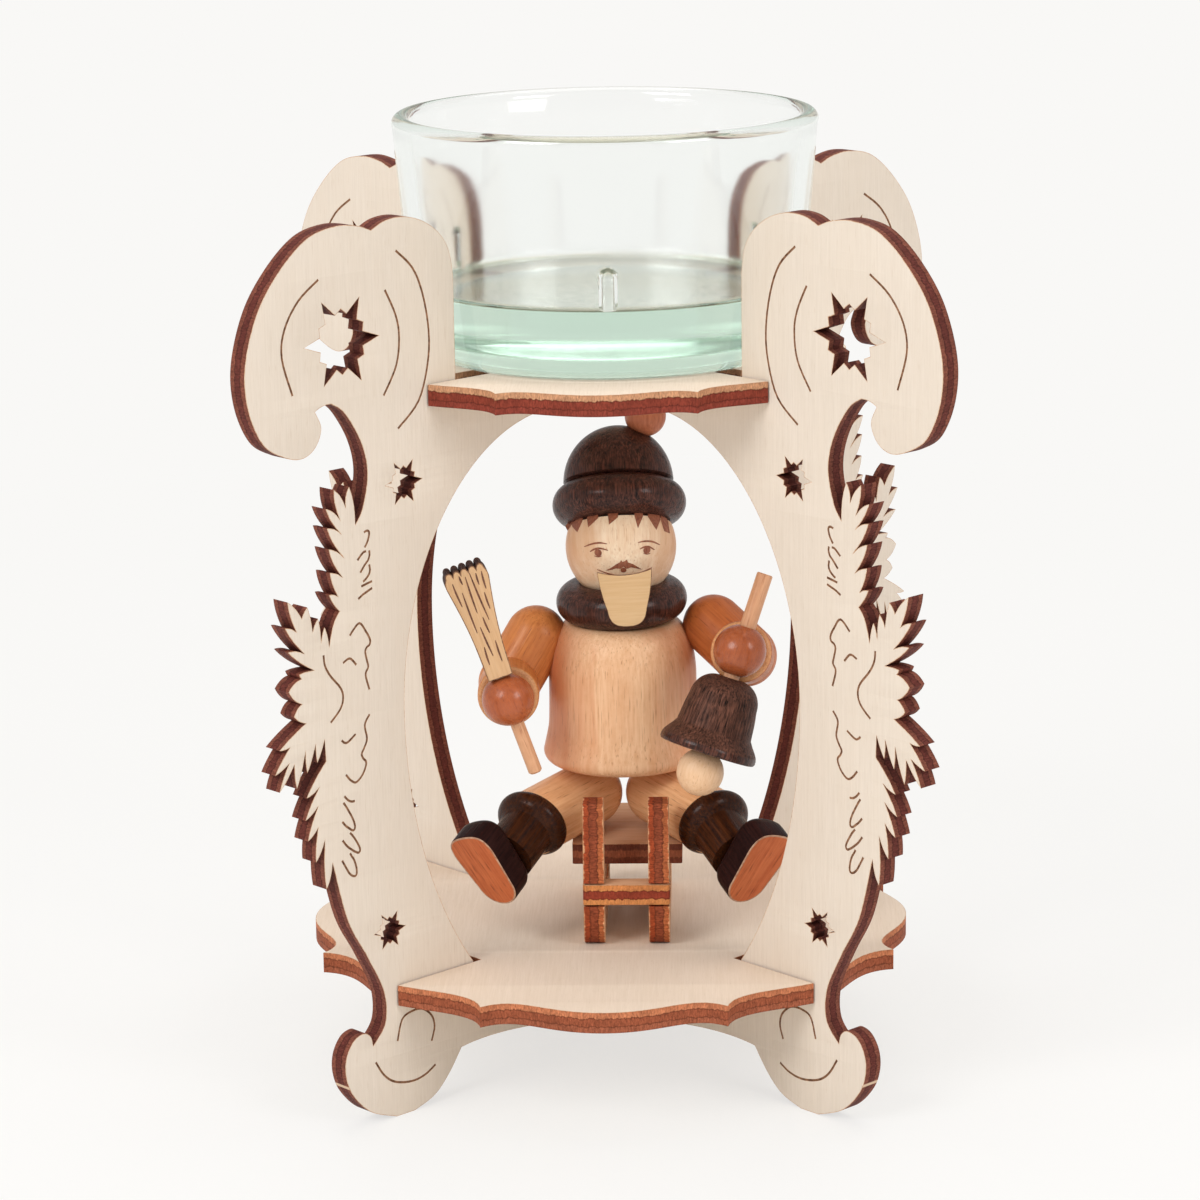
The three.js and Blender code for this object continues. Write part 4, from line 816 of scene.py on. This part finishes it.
def printed(name, shapes, radius, matrix, material):
    """Thin closed marks laid on the ball of the head."""
    work = bmesh.new()
    for shape in shapes:
        loop = tidy(shape, False)
        corners = [work.verts.new((x, 0.0, z)) for x, z in loop]
        for a, b, c in filled([loop]):
            work.faces.new((corners[a], corners[b], corners[c]))
    for _ in range(2):
        bmesh.ops.subdivide_edges(work, edges=work.edges[:], cuts=1, use_grid_fill=True)
    for vert in work.verts:
        x, y, z = on_ball([(vert.co.x, vert.co.z)], radius)[0]
        vert.co = Vector((x, y, z)) * MM
    shown = work.faces[:]
    border = [(side.vert, side.link_loop_next.vert) for face in shown for side in face.loops
              if len(side.edge.link_faces) == 1]
    under = {vert: work.verts.new(vert.co * (1 - PRINT_DEPTH / radius)) for vert in work.verts[:]}
    for face in shown:
        work.faces.new([under[vert] for vert in reversed(face.verts)])
    for a, b in border:
        work.faces.new((b, a, under[a], under[b]))
    data = bpy.data.meshes.new(name)
    work.to_mesh(data)
    work.free()
    data.materials.append(material)
    data.shade_smooth()
    data.set_sharp_from_angle(angle=SHARP)
    settle(add(name, data), matrix, [])


def disc(x, z, rx, rz):
    return arc(x, z, rx, rz, 0, 345, 23)


def build_head():
    torso = [(0, 0)] + arc(11.65 - 1.6, 1.6, 1.6, 1.6, -90, 20, 12)
    torso += smooth([torso[-1], (11.1, 4.2), (10.85, 5.8), (10.76, 9.0), (10.75, 12.6)], 6)[1:]
    torso += arc(7.3, 12.6, 3.45, 8.4, 0, 90, 24)[1:] + [(0, TORSO_HEIGHT)]
    settle(lathe("body_block", torso, (TORSO,), 96), figure_at(TORSO_LOW), ["torso", "neck_dowel"])

    roll, ring = 2.9, 6.6
    scarf = [(3.0, -roll)] + arc(ring, 0, roll, roll, -90, 120, 26) + [(3.0, 1.7)]
    settle(lathe("scarf_ring", scarf + [scarf[0]], (DARK,), 96),
           figure_at(TORSO_TOP + roll) @ turned(-2, "Y"), ["scarf"])

    place = figure_at(HEAD_LEVEL)
    lean = place @ turned(-2.2, "Y") @ turned(-25, "X")
    brow, skin = 2.85, HEAD_RADIUS + 2 * PRINT_LIFT
    brow_angle = math.degrees(math.asin(brow / HEAD_RADIUS))
    head = arc(0, 0, HEAD_RADIUS, HEAD_RADIUS, -90, brow_angle, 30) + [(0, brow)]
    settle(lathe("head_ball", head, (HEAD,), 96), lean, ["head"])
    hat = [(0, 0)] + arc(6.6, 3.1, 3.1, 3.1, -90, 78, 26) + arc(0, 6.2, 8.0, 8.4, 2, 90, 26)
    settle(lathe("hat_cap", hat, (DARK,), 96), lean @ at(0, 0, brow + FIT), ["hat"])
    ball = arc(0, 0, POMPOM_RADIUS, POMPOM_RADIUS, -90, 90, 24)
    settle(lathe("pompom_ball", ball, (POMPOM_SHADED,), 64), at(*POMPOM), ["hat_pompom"])

    fringe = [
        [(-8.0, 2.95), (-7.71, 2.33), (-7.1, 3.53), (-6.17, 3.01), (-5.44, 4.54), (-5.3, 5.1), (-7.29, 3.95)],
        [(-4.71, 4.92), (-4.55, 3.96), (-3.1, 5.3), (-3.11, 5.8), (-4.71, 5.35)],
        [(-1.66, 5.52), (-1.51, 4.6), (-0.23, 5.54), (-0.23, 6.15), (-1.67, 6.1)],
        [(2.12, 5.62), (2.62, 4.03), (3.33, 5.42), (3.32, 6.0), (2.12, 6.15)],
        [(4.03, 5.31), (5.24, 3.44), (5.8, 4.53), (5.73, 5.1), (4.03, 5.9)],
        [(5.87, 4.45), (6.37, 2.99), (7.14, 2.4), (6.92, 3.76), (6.7, 4.25), (5.87, 5.05)],
    ]
    printed("hair_print", fringe, skin, place, INK)
    lines = [
        ribbon([(-5.14, 1.28), (-3.97, 1.85), (-2.82, 2.1), (-1.81, 2.01)], 0.24),
        ribbon([(2.61, 2.1), (3.6, 2.2), (4.73, 1.96), (5.72, 1.33)], 0.24),
        ribbon([(-4.28, 0.69), (-3.69, 1.12), (-2.82, 1.33), (-1.67, 1.11)], 0.26),
        ribbon([(2.88, 1.17), (3.45, 1.39), (4.16, 1.36), (4.94, 0.8)], 0.26),
        ribbon([(-3.7, 0.18), (-3.13, 0.09), (-2.55, 0.28)], 0.14),
        ribbon([(3.37, 0.55), (3.87, 0.34), (4.37, 0.4)], 0.14),
        disc(-3.12, 0.67, 0.52, 0.5),
        disc(3.87, 0.91, 0.5, 0.48),
        [(0.17, -0.25), (0.38, -0.56), (0.66, -0.46), (1.02, -0.21), (1.16, -0.66), (1.87, -0.93),
         (2.57, -1.45), (3.13, -1.87), (2.28, -1.6), (1.57, -1.41), (0.93, -1.61), (0.51, -1.28),
         (0.07, -1.58), (-0.57, -1.53), (-1.29, -1.77), (-2.01, -1.89), (-1.28, -1.46), (-0.56, -0.92),
         (0.02, -0.59)],
        disc(0.5, -1.8, 0.42, 0.36),
        ribbon([(-3.31, -1.85), (-2.16, -2.24), (-0.45, -2.67), (0.7, -2.69), (2.12, -2.54), (3.55, -2.16),
                (4.55, -1.78)], 0.2),
    ]
    printed("face_print", lines, skin + PRINT_LIFT / 2, place, INK)

    rise = HEAD_RISE - roll
    span = math.hypot(ring, rise)
    tilt = math.atan2(rise, -ring) - math.acos((roll - HEAD_RADIUS) / span)
    reach = HEAD_RADIUS + FIT + BEARD_HALF
    slide = -(2.1 + reach * math.sin(tilt)) / math.cos(tilt)
    out = reach * math.cos(tilt) - slide * math.sin(tilt)
    normal = (0, -math.cos(tilt), math.sin(tilt))
    matrix = frame_along((FIGURE.x + 0.7, FIGURE.y - out, HEAD_LEVEL - 2.1), normal, (0, 0, 1))
    top, low, length = 3.9, 2.65, 7.4
    pen = Pen(-top, 0.6)
    pen.quad(0, -0.7, top, 0.6, 16)
    pen.quad(top - 0.2, -length * 0.3, low + 0.15, -length * 0.68)
    pen.cubic(low - 0.1, -length * 0.93, low * 0.66, -length, 0, -length)
    pen.cubic(-low * 0.66, -length, 0.1 - low, -length * 0.93, -low - 0.15, -length * 0.68)
    pen.quad(0.2 - top, -length * 0.3, -top, 0.6)
    settle(sheet("beard_veneer", pen.points, [], BEARD_HALF, (VENEER, CHAR, CHAR_RIM), rim=0.07),
           matrix @ turned(3.5, "Z"), ["beard"])


def heading(turn, lift):
    flat = math.cos(math.radians(lift))
    return Vector((math.sin(math.radians(turn)) * flat, -math.cos(math.radians(turn)) * flat,
                   math.sin(math.radians(lift))))


def held(hand, tilt, lean):
    tilt, lean = math.radians(tilt), math.radians(lean)
    axis = (math.sin(tilt), math.cos(tilt) * math.sin(lean), math.cos(tilt) * math.cos(lean))
    return frame_along(hand, axis, (0, -1, 0))


def build_arm(name, side, drop, sink, elbow, out, lift, bore, tilt, lean, cloth, skin):
    torso_half, torso_flare = 8.9, 1.95
    aside = torso_half + torso_flare * drop / TORSO_HEIGHT + ARM_RADIUS - sink
    shoulder = Vector((side * aside, 0, TORSO_TOP - drop)) + FIGURE
    elbow = shoulder + Vector((side * elbow[0], elbow[1], elbow[2]))
    reach = heading(side * out, lift)
    axis = elbow - shoulder
    length = axis.length
    upper = arc(0, -length / 2, ARM_RADIUS, ARM_RADIUS, -90, 0, 16)
    upper += arc(0, length / 2, ARM_RADIUS, ARM_RADIUS, 0, 90, 16)
    settle(lathe(name + "_shoulder", upper, (cloth,), 72),
           frame_along((shoulder + elbow) / 2, axis, (0, 1, 0)), [name + "_upper_arm"])
    hollow, forearm = HAND_RADIUS + FIT, 14.0
    seat = math.degrees(math.asin(2.5 / hollow))
    lower = arc(0, 0, 4.1, 4.1, -90, 0, 14) + [(4.3, 2.5), (4.4, 5.2), (4.42, 8.0)]
    ring = len(lower) + 3
    lower += arc(4.4 - 0.7, 10.8, 0.7, 0.7, 0, 90, 8) + arc(0, forearm, hollow, hollow, -seat, -90, 12)
    # The rounded end of the sleeve and its end face take the painted highlight colour.
    bands = [1 if ring <= k < ring + 6 else 0 for k in range(len(lower) - 1)]
    settle(lathe(name + "_sleeve", lower, (cloth, SLEEVE_END_HIGHLIGHT), 72, bands), frame_along(elbow, reach, (0, 0, 1)),
           [name + "_forearm"])
    hand = elbow + reach * forearm
    edge = math.degrees(math.asin(bore / HAND_RADIUS))
    ball = arc(0, 0, HAND_RADIUS, HAND_RADIUS, -90 + edge, 90 - edge, 26)
    grip = held(hand, tilt, lean)
    settle(lathe(name + "_fist", ball + [ball[0]], (skin,), 72), grip, [name + "_hand"])
    return grip


def rod(radius, low, high, chamfer=0.25):
    return [(0, low), (radius - chamfer, low), (radius, low + chamfer), (radius, (low + high) / 2),
            (radius, high - chamfer), (radius - chamfer, high), (0, high)]


def build_broom():
    grip = build_arm("broom", -1, 2.5, 1.1, (3.9, -2.1, -6.4), -2, 5, 1.25, -19.2, 0, SLEEVE, GLOVE)
    settle(lathe("broom_rod", rod(1.0, -11.4, 3.2), (STICK,), 40), grip, ["broom_stick"])
    foot, low, top, length = 4.0, 1.8, 3.15, 17.1
    end = foot + length
    middle, flare = foot + length * 0.41, foot + length * 0.56
    pen = Pen(-low, foot)
    pen.lines((low, foot))
    pen.cubic(low + 0.1, middle, low + 0.5, flare, top, end - 2.2, 20)
    pen.quad(top + 0.1, end - 1.3, top - 0.3, end - 0.7)
    width = 2 * (top - 0.3) / 5
    for i in range(5):
        start = top - 0.3 - i * width
        pen.cubic(start, end + 0.35, start - width, end + 0.35, start - width, end - 0.7, 9)
    pen.quad(-top - 0.1, end - 1.3, -top, end - 2.2)
    pen.cubic(-low - 0.5, flare, -low - 0.1, middle, -low, foot, 20)
    lay = grip
    for angle, axis in ((-2.6, "Y"), (-7, "X"), (9, "Z"), (90, "X")):
        lay = lay @ turned(angle, axis)
    straw = sheet("broom_straw", pen.points, [], PLY / 2, (STRAW, STRAW_EDGE, CHAR_RIM), rim=0.14, drop=0.05)
    settle(straw, lay, ["broom_head"])
    dashes = ((2.11, 19.6, 1.85, 15.9), (0.88, 20.4, 0.77, 19.0), (1.2, 17.9, 1.06, 11.5),
              (0.07, 20.0, 0.14, 14.3), (-0.65, 20.3, -1.13, 12.8), (-1.5, 20.0, -1.42, 18.2),
              (-2.32, 20.0, -2.16, 17.3), (-1.76, 16.9, -1.77, 14.3), (-0.41, 13.5, -0.6, 10.9),
              (0.39, 12.2, 0.0, 7.5), (-1.0, 9.6, -0.96, 6.3), (0.78, 9.2, 0.89, 6.4))
    verts, faces = [], []
    for x0, y0, x1, y1 in dashes:
        loop = tidy(ribbon([(x0, y0), ((x0 + x1) / 2 + 0.04, (y0 + y1) / 2), (x1, y1)], 0.27, 4), False)
        first, count = len(verts), len(loop)
        for lift in (PRINT_LIFT, PRINT_LIFT - PRINT_DEPTH):
            verts += [(x, y, -PLY / 2 - lift) for x, y in loop]
        for triangle in filled([loop]):
            faces.append(tuple(first + i for i in triangle[::-1]))
            faces.append(tuple(first + count + i for i in triangle))
        faces += walls(first, first + count, count)
    settle(mesh_object("broom_dashes", verts, faces, (BURN,), [0] * len(faces)), lay, [])


def build_bell():
    # The bell arm takes the painted-shade copies of the sleeve and glove colours.
    grip = build_arm("bell", 1, 1.1, 0.2, (4.6, -4.5, -3.4), -4, 17.3, 1.4, 18.6, 13,
                     SLEEVE_SHADED, GLOVE_SHADED)
    top = -HAND_RADIUS - 0.3
    handle = lathe("bell_grip", rod(1.15, top - 3.0, 11.4, 0.15), (HANDLE,), 48)
    settle(handle, grip, ["bell_handle"])
    foot = top - 11.0
    cup = [(0, 0), (6.55, 0.0), (6.85, 0.1), (7.0, 0.4), (7.0, 0.8)]
    cup += smooth([(7.0, 0.8), (6.85, 1.3), (6.45, 1.95), (5.95, 2.6), (5.5, 3.3)], 5)[1:]
    cup += smooth([(5.47, 3.35), (5.38, 4.2), (5.22, 5.8), (4.95, 7.48)], 5)
    cup += arc(1.7325, 7.48, 3.2175, 3.52, 0, 90, 16)[1:] + [(0, 11.0)]
    # The lowest 1.2 mm of the lip takes the darker stain: painted shade on the rim that faces down.
    bands = [1 if z < 1.2 else 0 for _, z in cup[1:]]
    settle(lathe("bell_cup", [(r, z + foot) for r, z in cup], (BELL, DARK), 80, bands), grip,
           ["bell"])
    clapper = 3.35
    angle = math.acos(2.0 / clapper)
    flat = clapper * math.sin(angle)
    ball = arc(0, foot - FIT - flat, clapper, clapper, -90, math.degrees(angle), 26) + [(0, foot - FIT)]
    settle(lathe("bell_ball", ball, (MAPLE,), 64), grip, ["bell_clapper"])


def build_legs():
    knee, cuff, boot_length, shoe_length = 14.0, 1.8, 9.4, 12.4
    for name, side in (("left", -1), ("right", 1)):
        hip = Vector((side * (THIGH_RADIUS + FIT), -0.5, THIGH_LEVEL)) + FIGURE
        thigh_axis, boot_axis = heading(side * 35, -5), heading(side * 30, -25)
        thigh = arc(0, 0, THIGH_RADIUS, THIGH_RADIUS, -90, 0, 16)
        thigh += [(THIGH_RADIUS, knee / 2), (THIGH_RADIUS, knee), (0, knee)]
        settle(lathe(name + "_upper_leg", thigh, (BEECH,), 72), frame_along(hip, thigh_axis, (0, 0, 1)),
               [name + "_thigh"])
        start = hip + thigh_axis * knee - boot_axis * cuff
        level = Vector((0, 0, 1))
        toe = level - boot_axis * level.dot(boot_axis)
        toe = Matrix.Rotation(side * math.radians(-20), 3, boot_axis) @ toe
        lie = frame_along(start, boot_axis, toe)
        boot = [(0, 0)] + arc(2 * cuff, cuff, cuff, cuff, -90, 68, 18)
        boot += [(3.95, 3.75), (3.9, 4.6), (3.9, boot_length - 0.2), (0, boot_length)]
        settle(lathe(name + "_boot_shaft", boot, (BOOT,), 72), lie, [name + "_boot"])
        heel, half = -shoe_length * 0.38, 3.8
        tip, back = shoe_length + heel, half * 0.86
        outline = arc(0, heel + back, back, back, 180, 360, 22)
        pen = Pen(*outline[-1])
        pen.lines((half, tip - 3.4))
        pen.cubic(half, tip - 0.9, half * 0.75, tip, 0, tip)
        pen.cubic(-half * 0.75, tip, -half, tip - 0.9, -half, tip - 3.4)
        outline += pen.points[1:]
        levels = [(1.5, 0.0), (0.8, 0.12), (0.3, 0.5), (0.05, 1.1), (0.0, 1.8), (0.0, 4.3), (0.05, 4.52),
                  (0.12, 4.6), (0.3, 4.6)]
        made = stacked(name + "_shoe", outline, levels, (SHOE, WELT, SOLE), [0, 0, 0, 0, 0, 0, 1, 1], (0, 2))
        settle(made, lie @ at(0, 0, boot_length + FIT), [name + "_foot"])


build_panels()
build_plates()
build_cup()
build_sled()
build_head()
build_broom()
build_bell()
build_legs()


# Stage

def build_stage():
    scene = bpy.context.scene
    work = bmesh.new()
    bmesh.ops.create_grid(work, x_segments=1, y_segments=1, size=8.0)
    data = bpy.data.meshes.new("studio_floor")
    work.to_mesh(data)
    work.free()
    s = Shade("studio_floor")
    shade = s.noise(s.place(), (0.004, 0.004, 0.004), 2.0)
    paper = s.ramp(shade, [(0.3, (0.88, 0.872, 0.856)), (0.7, (0.9, 0.892, 0.876))])
    s.finish(paper, 0.9, Specular_IOR_Level=0.0)
    light = s.node("ShaderNodeLightPath", {})
    seen = s.math("MAXIMUM", light.outputs["Is Camera Ray"],
                  s.math("MAXIMUM", light.outputs["Is Glossy Ray"], light.outputs["Is Transmission Ray"]))
    glow = s.node("ShaderNodeEmission", {"Color": BACKDROP, "Strength": 1.0})
    away = s.node("ShaderNodeVectorMath", {0: s.place()}, operation="LENGTH").outputs["Value"]
    blend = s.node("ShaderNodeMixShader", {0: s.math("MULTIPLY", seen, s.span(away, 60.0, 420.0, 0.7, 1.0)),
                                           1: s.bsdf.outputs[0], 2: glow.outputs[0]})
    s.result(blend)
    data.materials.append(s.mat)
    add("studio_floor", data)

    world = bpy.data.worlds.new("studio")
    world.use_nodes = True
    scene.world = world
    t = Nodes(world.node_tree)
    lit = t.nodes["Background"]
    t.put(lit.inputs["Color"], (1.0, 0.995, 0.985, 1.0))
    t.put(lit.inputs["Strength"], 0.62)
    shown = t.node("ShaderNodeBackground", {"Color": BACKDROP})
    path = t.node("ShaderNodeLightPath", {}).outputs
    seen = t.math("MAXIMUM", path["Is Camera Ray"], path["Is Transmission Ray"])
    t.result(t.node("ShaderNodeMixShader", {0: seen, 1: lit.outputs[0], 2: shown.outputs[0]}), "World Output")

    for name, where, size, power in (("key", (-0.55, -0.62, 0.62), 0.42, 4.4),
                                     ("fill", (0.62, -0.55, 0.5), 0.36, 2.5),
                                     ("top", (0.05, 0.25, 0.95), 0.7, 2.6)):
        lamp = bpy.data.lights.new(name, "AREA")
        lamp.shape = "SQUARE"
        lamp.size = size
        lamp.energy = power
        aim = Vector((0, 0, 0.06)) - Vector(where)
        turn = aim.to_track_quat("-Z", "Y").to_matrix().to_4x4()
        add(name, lamp).matrix_world = Matrix.Translation(where) @ turn

    eye, focal_pixels, photo_pixels = Vector((15.26, -569.2, 206.44)) * MM, 4062.4, 1200.0
    pan, pitch, roll = math.radians(-1.622), math.radians(13.773), math.radians(-0.849)
    ahead = Vector((math.sin(pan) * math.cos(pitch), math.cos(pan) * math.cos(pitch), -math.sin(pitch)))
    right = ahead.cross(Vector((0, 0, 1))).normalized()
    up = right.cross(ahead)
    x = right * math.cos(roll) + up * math.sin(roll)
    y = up * math.cos(roll) - right * math.sin(roll)
    lens = bpy.data.cameras.new("camera")
    lens.sensor_width = 36.0
    lens.lens = focal_pixels / photo_pixels * lens.sensor_width
    lens.clip_start = 0.01
    camera = add("camera", lens)
    turn = Matrix((x, y, -ahead)).transposed().to_4x4()
    camera.matrix_world = Matrix.Translation(eye) @ turn
    scene.camera = camera
    scene.view_settings.view_transform = "Standard"


build_stage()
